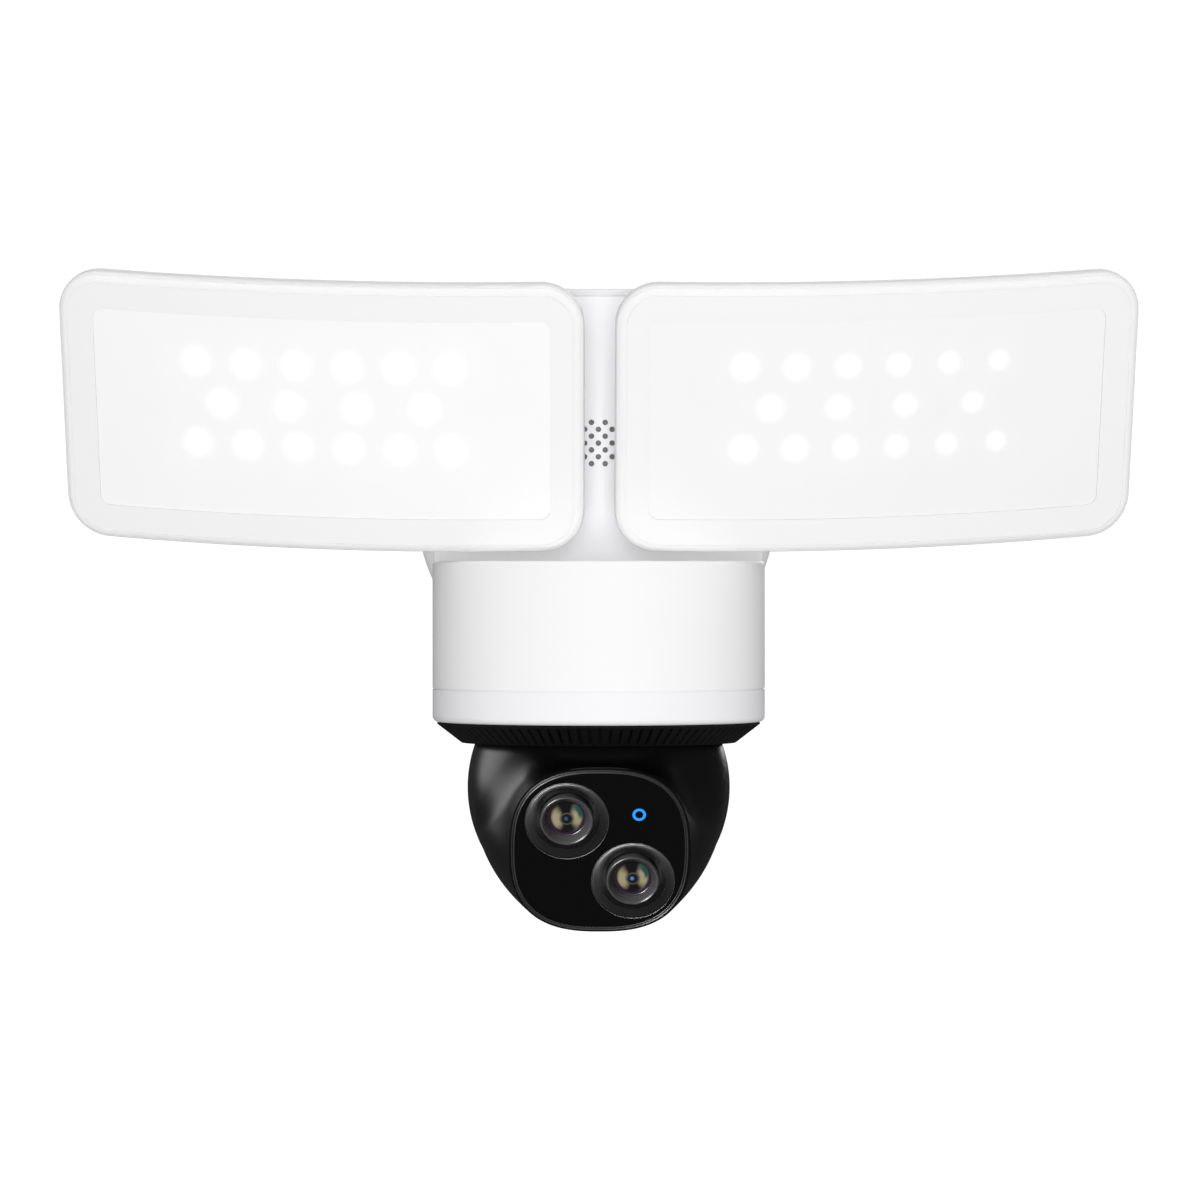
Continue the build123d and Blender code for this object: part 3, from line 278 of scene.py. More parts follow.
class Finish:
    """A Principled material and the few texture nodes that hang on it."""

    def __init__(self, name, colour, roughness, metallic=0.0, **sockets):
        self.material = bpy.data.materials.new(name)
        self.material.use_nodes = True
        self.tree = self.material.node_tree
        self.shader = self.tree.nodes["Principled BSDF"]
        self.shader.inputs["Base Color"].default_value = (*colour, 1)
        self.shader.inputs["Roughness"].default_value = roughness
        self.shader.inputs["Metallic"].default_value = metallic
        for socket, value in sockets.items():
            self.shader.inputs[socket.replace("_", " ")].default_value = value
        self.place = self.node("TexCoord").outputs["Object"]

    def node(self, kind, **settings):
        """A new shader node with its settings."""
        made = self.tree.nodes.new("ShaderNode" + kind)
        for key, value in settings.items():
            setattr(made, key, value)
        return made

    def link(self, output, target):
        """Join an output to an input."""
        self.tree.links.new(output, target)

    def stretched(self, scale):
        """The object's coordinates, scaled along each axis."""
        mapping = self.node("Mapping")
        mapping.inputs["Scale"].default_value = scale
        self.link(self.place, mapping.inputs["Vector"])
        return mapping.outputs["Vector"]

    def noise(self, scale, detail=2.0, along=None):
        """Noise with features of about 1/scale metres."""
        noise = self.node("TexNoise")
        noise.inputs["Scale"].default_value = scale
        noise.inputs["Detail"].default_value = detail
        self.link(along or self.place, noise.inputs["Vector"])
        return noise.outputs["Fac"]

    def ramp(self, value, low, high):
        """A value from 0 to 1 spread between two numbers."""
        spread = self.node("MapRange")
        spread.inputs["To Min"].default_value = low
        spread.inputs["To Max"].default_value = high
        self.link(value, spread.inputs["Value"])
        return spread.outputs["Result"]

    def between(self, value, start, end, low=0.0, high=1.0):
        """A smooth step of a value between start and end."""
        spread = self.node("MapRange", interpolation_type="SMOOTHSTEP")
        spread.inputs["From Min"].default_value = start
        spread.inputs["From Max"].default_value = end
        spread.inputs["To Min"].default_value = low
        spread.inputs["To Max"].default_value = high
        self.link(value, spread.inputs["Value"])
        return spread.outputs["Result"]

    def math(self, operation, a, b=None):
        """A math node on values or numbers."""
        made = self.node("Math", operation=operation)
        for socket, value in zip(made.inputs, (a, b)):
            if value is None:
                continue
            if isinstance(value, (int, float)):
                socket.default_value = value
            else:
                self.link(value, socket)
        return made.outputs[0]

    def length(self, x, y):
        """The distance from the origin of a point in a plane."""
        return self.math("SQRT", self.math("ADD", self.math("MULTIPLY", x, x), self.math("MULTIPLY", y, y)))

    def mix(self, factor, a, b):
        """A mix of two colours, each a colour or an output."""
        made = self.node("Mix", data_type="RGBA")
        self.link(factor, made.inputs["Factor"])
        for socket, value in ((made.inputs["A"], a), (made.inputs["B"], b)):
            if isinstance(value, tuple):
                socket.default_value = (*value, 1)
            else:
                self.link(value, socket)
        return made.outputs["Result"]

    def colour(self, output):
        """Drive the base colour."""
        self.link(output, self.shader.inputs["Base Color"])

    def rough(self, output):
        """Drive the roughness."""
        self.link(output, self.shader.inputs["Roughness"])

    def relief(self, height, depth, strength=1.0):
        """Bump the surface by a height of that depth in metres."""
        bump = self.node("Bump")
        bump.inputs["Strength"].default_value = strength
        bump.inputs["Distance"].default_value = depth
        self.link(height, bump.inputs["Height"])
        self.link(bump.outputs["Normal"], self.shader.inputs["Normal"])


def shade(colour, factor):
    """A colour made lighter or darker."""
    return tuple(min(1.0, c * factor) for c in colour)


def moulded(name, colour, roughness, grain=2600, depth=3e-6, vary=0.012, spread=0.05, **sockets):
    """Moulded plastic: a fine spark-eroded grain, faint flow marks and uneven gloss."""
    f = Finish(name, colour, roughness, **sockets)
    flow = f.noise(14, 3.0)
    f.colour(f.mix(flow, shade(colour, 1 - vary), shade(colour, 1 + vary)))
    f.rough(f.ramp(f.noise(60, 4.0), roughness - spread, roughness + spread))
    f.relief(f.noise(grain, 2.0), depth)
    return f.material


def metal(name, colour, roughness, stretch=(1, 1, 1), scale=900, depth=2e-6):
    """Metal with a drawn or turned grain."""
    f = Finish(name, colour, roughness, 0.75)
    grain = f.noise(scale, 5.0, f.stretched(stretch))
    f.colour(f.mix(f.noise(180, 3.0), shade(colour, 0.86), shade(colour, 1.1)))
    f.rough(f.ramp(grain, roughness - 0.1, roughness + 0.12))
    f.relief(grain, depth)
    return f.material


def foam(name, colour):
    """Closed-cell foam: small open bubbles on its cut faces, each darkened towards its middle by painted
    shade.
    """
    f = Finish(name, colour, 0.92)
    cells = f.node("TexVoronoi", feature="F1")
    cells.inputs["Scale"].default_value = 1500
    f.link(f.place, cells.inputs["Vector"])
    # Darker towards each bubble's middle: painted shade in the open bubbles; the bump gives their relief.
    f.colour(f.mix(cells.outputs["Distance"], shade(colour, 0.45), shade(colour, 1.35)))
    f.relief(cells.outputs["Distance"], 2.5e-4, 0.8)
    return f.material


def rubber(name, colour):
    """Dull rubber with a little bloom."""
    f = Finish(name, colour, 0.75)
    f.colour(f.mix(f.noise(220, 4.0), colour, shade(colour, 1.9)))
    f.rough(f.ramp(f.noise(90, 2.0), 0.62, 0.88))
    f.relief(f.noise(3200, 2.0), 8e-6)
    return f.material


def circuit(name, mask, copper):
    """A circuit board: solder mask over tracks, with bare pads between them."""
    f = Finish(name, mask, 0.35, Coat_Weight=0.3)
    tracks = f.node("TexBrick", offset=0.37, squash=1.6)
    tracks.inputs["Scale"].default_value = 260
    tracks.inputs["Mortar Size"].default_value = 0.09
    tracks.inputs["Color1"].default_value = (0, 0, 0, 1)
    tracks.inputs["Color2"].default_value = (0.25, 0.25, 0.25, 1)
    tracks.inputs["Mortar"].default_value = (1, 1, 1, 1)
    f.link(f.stretched((1, 1, 0.7)), tracks.inputs["Vector"])
    f.colour(f.mix(tracks.outputs["Color"], mask, copper))
    f.relief(tracks.outputs["Color"], 3e-5, 0.5)
    return f.material


finishes = {
    "white_shell": moulded("shell_white", WHITE, 0.42, Specular_IOR_Level=0.25),
    "grey_white_trim": moulded("trim_white", COOL_WHITE, 0.45, Specular_IOR_Level=0.25),
    "light_housing": moulded("lamp_white", (0.855, 0.855, 0.855), 0.46, Specular_IOR_Level=0.25),
    "arm_white": moulded("arm_white", (0.84, 0.84, 0.845), 0.5, grain=2000, depth=5e-6),
    "black_gloss": moulded("gloss_black", (0.0025, 0.0025, 0.0027), 0.16, depth=4e-7, spread=0.03),
    "black_satin": moulded("satin_black", BLACK, 0.31, grain=5200, depth=1.2e-6, spread=0.03),
    "black_matte": moulded("matt_black", (0.008, 0.008, 0.0085), 0.5, grain=3600, depth=4e-6),
    "lens_trim": moulded("anodised_black", (0.013, 0.013, 0.0135), 0.36, 5200, 1e-6, spread=0.04),
    "steel": metal("zinc_steel", (0.55, 0.56, 0.57), 0.32),
    "rubber_dark": rubber("rubber_dark", (0.016, 0.016, 0.017)),
    "foam_gasket": foam("foam_grey", (0.06, 0.06, 0.062)),
    "nylon": moulded("nylon_natural", (0.55, 0.54, 0.5), 0.48, grain=1800, depth=6e-6, vary=0.03),
    "board_green": circuit("board_green", (0.008, 0.055, 0.022), (0.03, 0.16, 0.06)),
    "board_aluminium": metal("board_aluminium", (0.8, 0.8, 0.8), 0.4, (1, 1, 12), 300),
    "motor_can": metal("motor_can", (0.42, 0.42, 0.43), 0.3, (1, 1, 8), 420),
    "gear_plastic": moulded("gear_acetal", (0.72, 0.71, 0.67), 0.4, grain=1500, depth=5e-6),
    "led": moulded("led_phosphor", (0.9, 0.78, 0.25), 0.3, vary=0.08),
    "lens_glass": moulded("lens_dark", (0.01, 0.01, 0.012), 0.1, depth=2e-7, spread=0.02),
    "frosted_window": moulded("window_plain", (0.87, 0.87, 0.87), 0.6),
}


def status_finish():
    """The status light's guide, glowing blue."""
    f = Finish("status_blue", (0.02, 0.12, 0.5), 0.3)
    glow = f.ramp(f.noise(900, 2.0), 0.9, 1.1)
    f.colour(f.mix(glow, (0.01, 0.09, 0.4), (0.02, 0.16, 0.6)))
    f.shader.inputs["Emission Color"].default_value = (0.009, 0.21, 0.66, 1)
    f.shader.inputs["Emission Strength"].default_value = 1.0
    return f.material


finishes["status_blue"] = status_finish()


def panel_forward(side):
    """The way a panel faces: the normal of its lamp board's front."""
    mesh = nodes[side + "_led_board"].data
    best = max(mesh.polygons, key=lambda p: p.area if p.normal.y < -0.5 else 0)
    return best.normal.copy()


def window_painted_glow_finish(side):
    """A frosted lamp window with the lamps' glow painted on it as emission: a soft bright spot painted in
    front of each lamp.
    """
    white = WINDOW_WHITE_AND_PAINTED_SHADE[side]
    f = Finish(side + "_window_frost_and_painted_glow", (white, white, white), 0.62)
    face = BVHTree.FromPolygons(
        [v.co for v in nodes[side + "_diffuser"].data.vertices],
        [p.vertices for p in nodes[side + "_diffuser"].data.polygons],
    )
    forward = panel_forward(side)
    nearest = None
    lamps = [middle(points) for points in islands(side + "_leds")]
    inner = min(abs(c.x) for c in lamps)
    outer = max(abs(c.x) for c in lamps)
    first, last = PAINTED_SPOT_SIZE[side]
    for lamp in lamps:
        outside = lamp + Vector(PAINTED_SPOT_SHIFT[side]) + forward * 0.06
        spot = face.ray_cast(outside, -forward)[0]
        along = (abs(lamp.x) - inner) / (outer - inner)
        distance = f.node("VectorMath", operation="DISTANCE")
        f.link(f.place, distance.inputs[0])
        distance.inputs[1].default_value = spot
        scaled = f.math("DIVIDE", distance.outputs["Value"], first + (last - first) * along)
        nearest = scaled if nearest is None else f.math("MINIMUM", nearest, scaled)
    # The painted glow: a bright core and a faint halo round each lamp's spot, given as emission, plus the
    # window's painted glow.
    core = f.between(nearest, 0.3, 1.35, 1.0, 0.0)
    painted_halo = f.between(nearest, 0.8, 3.4, 1.0, 0.0)
    painted_spots = f.math("ADD", f.math("MULTIPLY", core, 0.14), f.math("MULTIPLY", painted_halo, 0.014))
    glow = f.math("ADD", painted_spots, WINDOW_PAINTED_GLOW[side])
    f.shader.inputs["Emission Color"].default_value = (1, 1, 1, 1)
    f.link(glow, f.shader.inputs["Emission Strength"])
    f.colour(f.mix(f.noise(40, 3.0), (white - 0.007,) * 3, (white + 0.007,) * 3))
    f.rough(f.ramp(f.noise(300, 3.0), 0.56, 0.68))
    f.relief(f.noise(1900, 1.0), 4e-6)
    return f.material


for node, obj in nodes.items():
    slot_name = obj.data.materials[0].name.split(".")[0]
    obj.data.materials[0] = finishes[slot_name]
for side in SIDES:
    nodes[side + "_diffuser"].data.materials[0] = window_painted_glow_finish(side)


# ---------------------------------------------------------------- mesh tools

def piece(name, mesh, body, finish, slot, *stands_for, sharp=32):
    """A finished piece from a mesh in the row frame."""
    mesh.name = name
    mesh.materials.clear()
    mesh.materials.append(finish)
    mesh.shade_smooth()
    mesh.set_sharp_from_angle(angle=math.radians(sharp))
    obj = bpy.data.objects.new(name, mesh)
    scene.collection.objects.link(obj)
    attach(obj, body)
    if stands_for:
        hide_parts(*stands_for)


def mesh_from(bm, place=Matrix.Identity(4)):
    """A mesh in metres from a bmesh in millimetres."""
    bmesh.ops.recalc_face_normals(bm, faces=bm.faces)
    bm.transform(place @ Matrix.Scale(MM, 4))
    mesh = bpy.data.meshes.new("piece")
    bm.to_mesh(mesh)
    bm.free()
    return mesh


def join_rings(bm, pairs):
    """Faces between pairs of rings; a ring of one point is a pole."""
    for low, high in pairs:
        steps = max(len(low), len(high))
        if steps == 1:
            continue
        for i in range(steps):
            j = (i + 1) % steps
            if len(low) == 1:
                bm.faces.new((low[0], high[j], high[i]))
            elif len(high) == 1:
                bm.faces.new((low[i], low[j], high[0]))
            else:
                bm.faces.new((low[i], low[j], high[j], high[i]))


def loop_rings(bm, rings, closed=True):
    """Faces between rings of points; closed joins the last ring to the first."""
    rows = [[bm.verts.new(p) for p in ring] for ring in rings]
    pairs = list(zip(rows, rows[1:]))
    if closed:
        pairs.append((rows[-1], rows[0]))
    join_rings(bm, pairs)
    return rows


def turned_ring(bm, r, z, at, steps):
    """A ring of points about Z, or its one point where the radius is 0."""
    if r == 0:
        return [bm.verts.new((at[0], at[1], z))]
    turns = [2 * math.pi * i / steps for i in range(steps)]
    return [bm.verts.new((at[0] + r * math.cos(a), at[1] + r * math.sin(a), z)) for a in turns]


def lathe(bm, profile, at, steps):
    """A solid turned about Z from (radius, height) points; a radius of 0 closes an end."""
    rows = [turned_ring(bm, r, z, at, steps) for r, z in profile]
    pairs = list(zip(rows, rows[1:]))
    if profile[0][0] > 0:
        pairs.append((rows[-1], rows[0]))
    join_rings(bm, pairs)


def arc(centre, radius, start, end, steps):
    """Points on an arc in the (radius, height) plane, angles in degrees."""
    points = []
    for i in range(steps + 1):
        a = math.radians(start + (end - start) * i / steps)
        points.append((centre[0] + radius * math.cos(a), centre[1] + radius * math.sin(a)))
    return points


def squircle_r(half, theta):
    """The radius of the face's superellipse in one direction."""
    c, s = abs(math.cos(theta)), abs(math.sin(theta))
    return half / (c**FACE_POWER + s**FACE_POWER) ** (1 / FACE_POWER)


# ---------------------------------------------------------------- camera ball

def smooth_step(low, high, value):
    """0 below low, 1 above high, smooth between."""
    t = min(1.0, max(0.0, (value - low) / (high - low)))
    return t * t * (3 - 2 * t)


def ball_profile(theta):
    """The outside of the front shell in one half plane: (radius, height) from the face's edge back.

    Below, it runs straight from the edge to touch the ball, swollen by a bulge. Above, it leans inwards
    behind the edge, and blends into the ball where it meets it.
    """
    edge = squircle_r(FACE_HALF, theta)
    far = math.hypot(edge, FACE_FRONT)
    phi_edge = math.atan2(edge, FACE_FRONT)
    tangent = phi_edge + math.acos(BALL_R / far)
    touch = (BALL_R * math.sin(tangent), BALL_R * math.cos(tangent))
    flare = math.atan2(touch[0] - edge, FACE_FRONT - touch[1])
    up = smooth_step(-0.25, 1.0, math.sin(theta))
    top = smooth_step(0.75, 1.0, math.sin(theta))
    lean = flare + (math.radians(LEAN_UP - LEAN_MORE * top) - flare) * up
    reach = edge * math.cos(lean) + FACE_FRONT * math.sin(lean)
    foot = math.pi / 2 - lean
    phi_end = math.acos(BALL_SPLIT / BALL_R)
    blend = (BLEND - BLEND_LESS * top) * up
    bulge = (BULGE - BULGE_LESS * max(0.0, -math.sin(theta))) * (1 - up)
    steps = 360
    crowding = 1.6
    dense = []
    for i in range(steps + 1):
        phi = phi_edge + (phi_end - phi_edge) * (i / steps) ** crowding
        r = BALL_R
        if phi < foot:
            line = reach / math.sin(phi + lean)
            r = max(line, BALL_R)
            near = max(0.0, blend - abs(line - BALL_R)) / max(blend, 0.01)
            r += near * near * blend / 4 * smooth_step(0.0, 0.25, foot - phi)
            along = (phi - phi_edge) / (foot - phi_edge)
            r += 4 * bulge * along * (1 - along)
        dense.append((min(r, far) * math.sin(phi), min(r, far) * math.cos(phi)))
    dense[0] = (edge, FACE_FRONT)
    return dense


def even(points, count):
    """Points spaced evenly along a line of points."""
    lengths = [0.0]
    for a, b in zip(points, points[1:]):
        lengths.append(lengths[-1] + math.dist(a, b))
    out = []
    k = 0
    for i in range(count):
        want = lengths[-1] * i / (count - 1)
        while k < len(lengths) - 2 and lengths[k + 1] < want:
            k += 1
        span = lengths[k + 1] - lengths[k] or 1.0
        t = (want - lengths[k]) / span
        out.append(tuple(a + (b - a) * t for a, b in zip(points[k], points[k + 1])))
    return out


def make_head_shell():
    """The front of the ball: a sphere that grows smoothly into the face's frame. Its slot is cut from it
    afterwards.
    """
    turns = 240
    columns = []
    for i in range(turns):
        theta = 2 * math.pi * i / turns
        edge = squircle_r(FACE_HALF, theta)
        skin = even(ball_profile(theta), 84)
        lip = [
            (edge - 0.62, FACE_FRONT - 2.2), (edge - 0.62, FACE_FRONT - 0.12),
            (edge - 0.5, FACE_FRONT), (edge - 0.25, FACE_FRONT),
        ]
        soft = (edge - 0.04, FACE_FRONT - 0.12)
        rear_r = math.sqrt(BALL_R**2 - BALL_SPLIT**2)
        tail = [(rear_r + 0.02, BALL_SPLIT + 0.35), (rear_r - 0.22, BALL_SPLIT + 0.1),
                (rear_r - 0.5, BALL_SPLIT + 0.1)]
        inside = []
        for r, z in reversed(skin[:-1:4]):
            size = math.hypot(r, z)
            keep = (size - WALL) / size
            if z * keep < FACE_FRONT - 5:
                inside.append((r * keep, z * keep))
        inside[0] = (math.sqrt((BALL_R - WALL) ** 2 - BALL_SPLIT**2), BALL_SPLIT + 0.1)
        back = [(edge - 2.6, FACE_FRONT - 3.4), (edge - 2.4, FACE_FRONT - 2.2)]
        inside = even(inside, 16)
        column = lip + [soft] + skin[1:-1] + tail + inside + back
        c, s = math.cos(theta), math.sin(theta)
        columns.append([(r * c, r * s, z) for r, z in column])
    bm = bmesh.new()
    loop_rings(bm, [list(ring) for ring in zip(*columns)])
    return mesh_from(bm)


def make_slot_cutter():
    """The wedge that the yoke sweeps through the top of the ball, with 1.5 degrees to spare."""
    lowest, highest = joint_named("head_tilt")["range_deg"]
    reach = math.degrees(math.asin(STEM_HALF / SLOT_R)) + 1.5
    first = -(FACE_TILT + highest + reach)
    sweep = highest - lowest + 2 * reach
    bm = bmesh.new()
    outline = []
    steps = 16
    outside, inside = 60, 33
    for radius, order in ((outside, range(steps + 1)), (inside, range(steps, -1, -1))):
        for i in order:
            a = math.radians(first + sweep * i / steps)
            outline.append((radius * math.cos(a), radius * math.sin(a)))
    rows = [[(x, y, z) for y, z in outline] for x in (-SLOT_HALF_WIDTH, SLOT_HALF_WIDTH)]
    made = loop_rings(bm, rows, closed=False)
    bm.faces.new(made[0])
    bm.faces.new(made[1])
    return mesh_from(bm)


def cut(mesh, tool):
    """One mesh with another taken out of it."""
    body = bpy.data.objects.new("cut_body", mesh)
    cutter = bpy.data.objects.new("cut_tool", tool)
    for obj in (body, cutter):
        scene.collection.objects.link(obj)
    modifier = body.modifiers.new("cut", "BOOLEAN")
    modifier.operation = "DIFFERENCE"
    modifier.solver = "EXACT"
    modifier.object = cutter
    bpy.context.view_layer.update()
    done = bpy.data.meshes.new_from_object(body.evaluated_get(bpy.context.evaluated_depsgraph_get()))
    for obj in (body, cutter):
        bpy.data.objects.remove(obj)
    return done


shell = cut(make_head_shell(), make_slot_cutter())
shell.transform(FACE)
piece("ball_front", shell, "camera_ball", finishes["black_satin"], "black_satin", "head_front", sharp=40)


def make_rim():
    """The frame round the face plate: two fine beads with a channel between them."""
    outer = FACE_HALF - 0.6
    f = FACE_FRONT
    section = [
        (0.0, f - 2.2), (0.0, f + 0.06), (0.05, f + 0.19), (0.15, f + 0.27), (0.27, f + 0.27),
        (0.37, f + 0.19), (0.44, f + 0.02), (0.52, f - 0.06), (0.68, f - 0.06), (0.76, f + 0.02),
        (0.83, f + 0.15), (0.93, f + 0.22), (1.04, f + 0.22), (1.14, f + 0.15), (1.19, f + 0.02),
        (1.19, f - 2.2),
    ]
    turns = 288
    rings = []
    for depth, z in section:
        ring = []
        for i in range(turns):
            theta = 2 * math.pi * i / turns
            r = squircle_r(outer - depth, theta)
            ring.append((r * math.cos(theta), r * math.sin(theta), z))
        rings.append(ring)
    bm = bmesh.new()
    loop_rings(bm, rings)
    return mesh_from(bm, FACE)


rim_finish = moulded("rim_black", (0.009, 0.009, 0.0095), 0.42, depth=6e-7, spread=0.03)
piece("face_frame", make_rim(), "camera_ball", rim_finish, "black_gloss", "face_rim", sharp=50)


# ---------------------------------------------------------------- lenses

def lens_centre(lens):
    """Where a lens's axis meets the face, its ring's radius, and the height of its barrel's foot."""
    lo, hi = box_in(FACE, lens + "_lens_ring")
    foot = box_in(FACE, lens + "_lens_barrel")[0].z
    return ((lo.x + hi.x) / 2, (lo.y + hi.y) / 2), (hi.x - lo.x) / 2, foot


def make_lens_ring(at, r):
    """The trim ring: a fine bead, a satin cone, a step, a shelf with fine turned grooves."""
    f = FACE_FRONT
    profile = [(r - 5.2, f - 3.4), (r - 0.62, f - 3.4), (r - 0.62, f - 1.0), (r - 0.02, f - 1.0)]
    profile += [(r - 0.02, f + 0.1)] + arc((r - 0.2, f + 0.12), 0.18, 0, 180, 6)
    profile += [(r - 0.45, f - 0.12), (r - 0.62, f - 0.16), (r - 0.72, f - 0.1), (r - 0.86, f - 0.12)]
    profile += even([(r - 1.0, f - 0.2), (r - 2.66, f - 1.35)], 8)
    profile += [(r - 2.76, f - 1.42), (r - 2.86, f - 1.36), (r - 2.96, f - 1.4), (r - 3.0, f - 1.62)]
    start = (r - 3.02, f - 1.85)
    for i in range(5):
        x = start[0] - 0.24 * i
        z = start[1] - 0.17 * i
        profile += [(x, z), (x - 0.05, z - 0.11), (x - 0.15, z - 0.13), (x - 0.2, z - 0.06)]
    profile += [(r - 4.3, f - 2.9), (r - 4.9, f - 3.0), (r - 5.2, f - 3.1)]
    bm = bmesh.new()
    lathe(bm, profile, at, 144)
    return mesh_from(bm, FACE)


def make_lens_barrel(at, foot):
    """The barrel: a rolled front edge, a conical hood with fine baffles, and the seat of the glass."""
    f = FACE_FRONT
    r = BARREL_R
    profile = [(0, foot), (r - 0.6, foot), (r - 0.6, f - 3.2), (r - 0.1, f - 2.7), (r, f - 2.5)]
    profile += [(r, f + 0.25)] + arc((r - 0.42, f + 0.3), 0.42, 0, 150, 9)
    profile += [(r - 0.95, f + 0.32), (r - 1.05, f + 0.18)]
    x, z = r - 1.08, f + 0.1
    for i in range(4):
        profile += [(x, z), (x - 0.2, z - 0.34), (x - 0.27, z - 0.36), (x - 0.3, z - 0.3)]
        x, z = x - 0.3, z - 0.4
    profile += [(6.55, f - 1.75), (6.5, f - 2.3), (6.32, f - 2.42), (6.3, f - 2.9), (5.7, f - 3.2)]
    profile += [(5.7, f - 4.4), (0, f - 4.6)]
    bm = bmesh.new()
    lathe(bm, profile, at, 144)
    return mesh_from(bm, FACE)


def dome(radius, rise, base, steps):
    """A dome's profile from its edge to its top."""
    curve = (radius**2 + rise**2) / (2 * rise)
    points = []
    for i in range(steps + 1):
        r = radius * (1 - i / steps)
        points.append((r, base + rise - curve + math.sqrt(curve**2 - r**2)))
    return points


def make_lens_glass(at):
    """The domed front element, a shallow meniscus."""
    f = FACE_FRONT
    front = dome(GLASS_R, 2.3, f - 2.35, 22)
    back = dome(GLASS_R - 0.2, 1.5, f - 2.75, 16)
    bm = bmesh.new()
    lathe(bm, back[::-1] + [(GLASS_R, f - 2.75)] + front, at, 96)
    return mesh_from(bm, FACE)


def make_lens_optics(at):
    """What stands behind the front element: the second element, its stop and the small rear dome."""
    f = FACE_FRONT
    profile = [(5.6, f - 4.38)] + dome(5.6, 1.15, f - 3.75, 18)[:-6]
    profile += [(2.25, f - 2.66), (2.15, f - 2.85), (1.85, f - 2.9), (1.8, f - 3.05), (1.5, f - 3.1)]
    profile += [(1.45, f - 3.3), (1.2, f - 3.34)] + dome(1.15, 0.35, f - 3.3, 6)[1:]
    bm = bmesh.new()
    lathe(bm, [(0, f - 4.38)] + profile, at, 96)
    return mesh_from(bm, FACE)


def glass_finish(lens, at):
    """A front element with its reflections painted on as emission: amber lobes, a teal arc, a purple edge,
    pale rings and a blue glint in its pupil.
    """
    f = Finish(lens + "_glass_painted_reflections", (0.004, 0.004, 0.004), 0.05)
    raised = 0.6
    centre = FACE @ (Vector((at[0], at[1] + raised, FACE_FRONT - 3)) * MM)
    local = f.node("Mapping", vector_type="TEXTURE")
    local.inputs["Location"].default_value = centre
    local.inputs["Rotation"].default_value = FACE.to_euler()
    local.inputs["Scale"].default_value = (MM, MM, MM)
    f.link(f.place, local.inputs["Vector"])
    split = f.node("SeparateXYZ")
    f.link(local.outputs["Vector"], split.inputs[0])
    x, y = split.outputs["X"], split.outputs["Y"]
    radius = f.length(x, y)
    angle = f.math("ARCTAN2", y, x)
    # Painted reflections: amber lobes left and right, a teal arc, a purple ring at the edge, pale rings
    # round the pupil and a blue glint.
    side_lobe = f.math("ABSOLUTE", f.math("COSINE", f.math("SUBTRACT", angle, 0.1)))
    lobe = f.between(side_lobe, 0.35, 1.0)
    band = f.math("MULTIPLY", f.between(radius, 1.6, 3.0), f.between(radius, 4.4, 5.7, 1.0, 0.0))
    amber = f.mix(f.math("MULTIPLY", lobe, band), (0.004, 0.003, 0.004), PAINTED_AMBER_REFLECTION)
    teal_arc = f.between(f.math("COSINE", f.math("SUBTRACT", angle, 0.5)), 0.75, 0.98)
    teal_band = f.math("MULTIPLY", f.between(radius, 3.5, 4.5), f.between(radius, 5.0, 5.8, 1.0, 0.0))
    teal = f.mix(f.math("MULTIPLY", teal_arc, teal_band), amber, PAINTED_TEAL_REFLECTION)
    edge = f.mix(f.between(radius, 5.5, 5.9), teal, (0.030, 0.012, 0.032))
    rings = f.math("MULTIPLY", f.between(radius, 1.6, 1.8), f.between(radius, 2.0, 2.3, 1.0, 0.0))
    ringed = f.mix(rings, edge, (0.075, 0.07, 0.055))
    inner = f.mix(f.between(radius, 1.35, 1.55, 1.0, 0.0), ringed, (0.006, 0.007, 0.010))
    glint_r = f.length(f.math("ADD", x, 0.25), f.math("ADD", y, -0.1))
    pupil = f.mix(f.between(glint_r, 0.25, 0.95, 1.0, 0.0), inner, GLINT[lens])
    # The painted reflections glow as emission over the dark glass's base colour.
    f.link(pupil, f.shader.inputs["Emission Color"])
    f.shader.inputs["Emission Strength"].default_value = 1.0
    f.colour(f.mix(f.noise(900, 2.0), (0.003, 0.003, 0.003), (0.006, 0.006, 0.006)))
    f.rough(f.ramp(f.noise(700, 2.0), 0.03, 0.06))
    return f.material


barrel_finish = moulded("barrel_grey", (0.022, 0.021, 0.022), 0.26, 5200, 8e-7, spread=0.04)
for lens in LENSES:
    at, ring_r, foot = lens_centre(lens)
    piece(lens + "_trim_ring", make_lens_ring(at, ring_r), "camera_ball", finishes["lens_trim"],
          "lens_trim", lens + "_lens_ring")
    piece(lens + "_barrel", make_lens_barrel(at, foot), "camera_ball", barrel_finish,
          "lens_trim", lens + "_lens_barrel")
    piece(lens + "_front_element", make_lens_glass(at), "camera_ball", glass_finish(lens, at), "lens_glass",
          lens + "_lens_glass")
    piece(lens + "_rear_optics", make_lens_optics(at), "camera_ball", finishes["lens_glass"],
          "lens_glass", sharp=60)


# ---------------------------------------------------------------- speaker cloth

def cloth_finish():
    """Grey woven acoustic cloth: two crossed sets of fine threads."""
    f = Finish("speaker_cloth", (0.4, 0.4, 0.405), 0.85)
    split = f.node("SeparateXYZ")
    f.link(f.place, split.inputs[0])
    waves = 2 * math.pi / THREAD_PITCH
    warp = f.math("SINE", f.math("MULTIPLY", split.outputs["X"], waves))
    weft = f.math("SINE", f.math("MULTIPLY", split.outputs["Z"], waves))
    weave = f.math("MULTIPLY", warp, weft)
    f.colour(f.mix(f.ramp(weave, 0.3, 0.7), (0.28, 0.28, 0.285), (0.5, 0.5, 0.505)))
    f.relief(weave, 6e-5, 0.7)
    return f.material


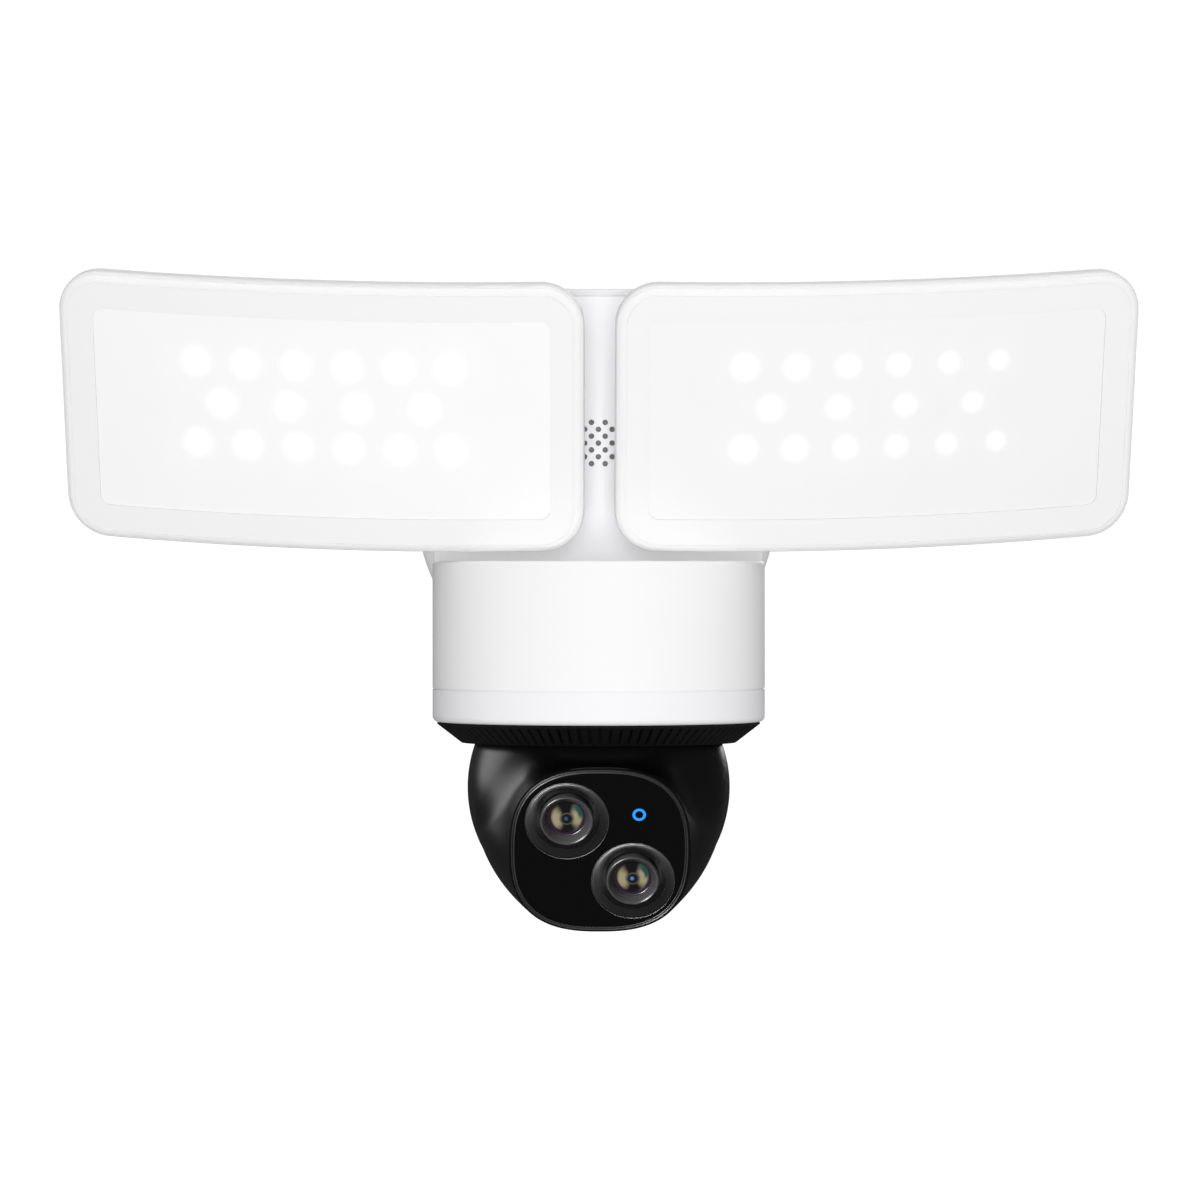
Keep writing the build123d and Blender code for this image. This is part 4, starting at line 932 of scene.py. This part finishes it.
def make_cloth():
    """The cloth behind the grille, slightly dished."""
    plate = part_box("front_plate")
    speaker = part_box("speaker")
    centre = (speaker[0] + speaker[1]) / 2
    thickness = 0.16
    bm = bmesh.new()
    rings = [(CLOTH_R * i / 12, 0.05 + 0.25 * (i / 12) ** 2) for i in range(13)]
    back = [(r, z - thickness) for r, z in reversed(rings)]
    lathe(bm, rings + back, (0, 0), 72)
    place = Matrix.Translation((centre.x, plate[1].y + 0.0006, centre.z)) @ Matrix.Rotation(
        math.radians(90), 4, "X"
    )
    return mesh_from(bm, place)


piece("speaker_cloth", make_cloth(), "main_body", cloth_finish(), "black_matte")


# ---------------------------------------------------------------- screws

def cross_depth(x, y, reach, width):
    """How deep a cross recess is at a point, from 0 to 1."""
    best = 0.0
    for a, b in ((x, y), (y, x)):
        if abs(a) < reach and abs(b) < width:
            taper = 1 - (abs(a) / reach) ** 2
            wall = min(1.0, (width - abs(b)) / (0.35 * width))
            best = max(best, taper * wall)
    return best


def add_screw(bm, place, head_r, head_h, length, shank_r=1.4):
    """A pan-head screw with a cross recess and a thread. Its head's underside is at the origin, +Z up."""
    steps = 48
    rings = 14
    recess = 1.1
    start = len(bm.verts)
    rows = [[bm.verts.new((0, 0, head_h - recess))]]
    for i in range(1, rings + 1):
        r = head_r * i / rings
        top = head_h * (1 - 0.42 * (r / head_r) ** 4)
        ring = []
        for k in range(steps):
            a = 2 * math.pi * k / steps
            x, y = r * math.cos(a), r * math.sin(a)
            z = top - recess * cross_depth(x, y, 0.62 * head_r, 0.42)
            ring.append(bm.verts.new((x, y, z)))
        rows.append(ring)
    under = [(head_r, 0.12), (head_r - 0.1, 0.0), (shank_r, 0.0)]
    z = -0.3
    while z > -length + 0.9:
        under += [(shank_r, z), (shank_r - 0.28, z - 0.25)]
        z -= 0.5
    under += [(shank_r - 0.3, -length + 0.5), (0, -length)]
    rows += [turned_ring(bm, r, z, (0, 0), steps) for r, z in under]
    join_rings(bm, zip(rows, rows[1:]))
    bm.verts.ensure_lookup_table()
    bmesh.ops.transform(bm, matrix=place, verts=[bm.verts[i] for i in range(start, len(bm.verts))])


def make_screws(node, axis):
    """A detailed screw in place of each plain one of a node, along an axis or each one's longest side."""
    bm = bmesh.new()
    for points in islands(node):
        points = [p / MM for p in points]
        centre = middle(points)
        if axis is None:
            sizes = [max(p[i] for p in points) - min(p[i] for p in points) for i in range(3)]
            line = Vector([1.0 if i == sizes.index(max(sizes)) else 0.0 for i in range(3)])
        else:
            line = axis.normalized()
        along = [(p - centre).dot(line) for p in points]
        core = sum(points, Vector()) / len(points)
        core -= line * (core - centre).dot(line)
        away = [((p - centre) - line * (p - centre).dot(line)).length for p in points]
        wide = [a for a, w in zip(along, away) if w > 0.8 * max(away)]
        head = 1 if sum(wide) / len(wide) > 0 else -1
        up = line * head
        seat = min(a * head for a in wide)
        top = max(a * head for a in along)
        tip = min(a * head for a in along)
        place = Matrix.Translation(centre + up * seat) @ up.to_track_quat("Z", "Y").to_matrix().to_4x4()
        add_screw(bm, place, max(away), top - seat, seat - tip)
    return mesh_from(bm)


face_axis = FACE.to_3x3() @ Vector((0, 0, 1))
for node, body, axis in (
    ("body_screws", "main_body", None),
    ("fork_screws", "wall_base", None),
    ("yoke_screws", "pan_head", None),
    ("head_screws", "camera_ball", face_axis),
):
    piece(node + "_cross", make_screws(node, axis), body, finishes["steel"], "steel", node)


# ---------------------------------------------------------------- lights kept to a few parts

def finished_in(*materials):
    """The pieces that have one of these materials."""
    return [obj for obj in scene.objects if obj.type == "MESH" and obj.data.materials[0] in materials]


def only_on(lamp, parts):
    """Let a light fall only on some pieces."""
    kept = bpy.data.collections.new(lamp.name + "_parts")
    for obj in parts:
        kept.objects.link(obj)
    lamp.light_linking.receiver_collection = kept


only_on(ball_glow, finished_in(finishes["black_satin"], finishes["black_gloss"]))
only_on(lens_glow, finished_in(finishes["lens_trim"]))
only_on(barrel_glow, finished_in(barrel_finish, rim_finish))
only_on(plate_fill, [nodes["front_plate"]])
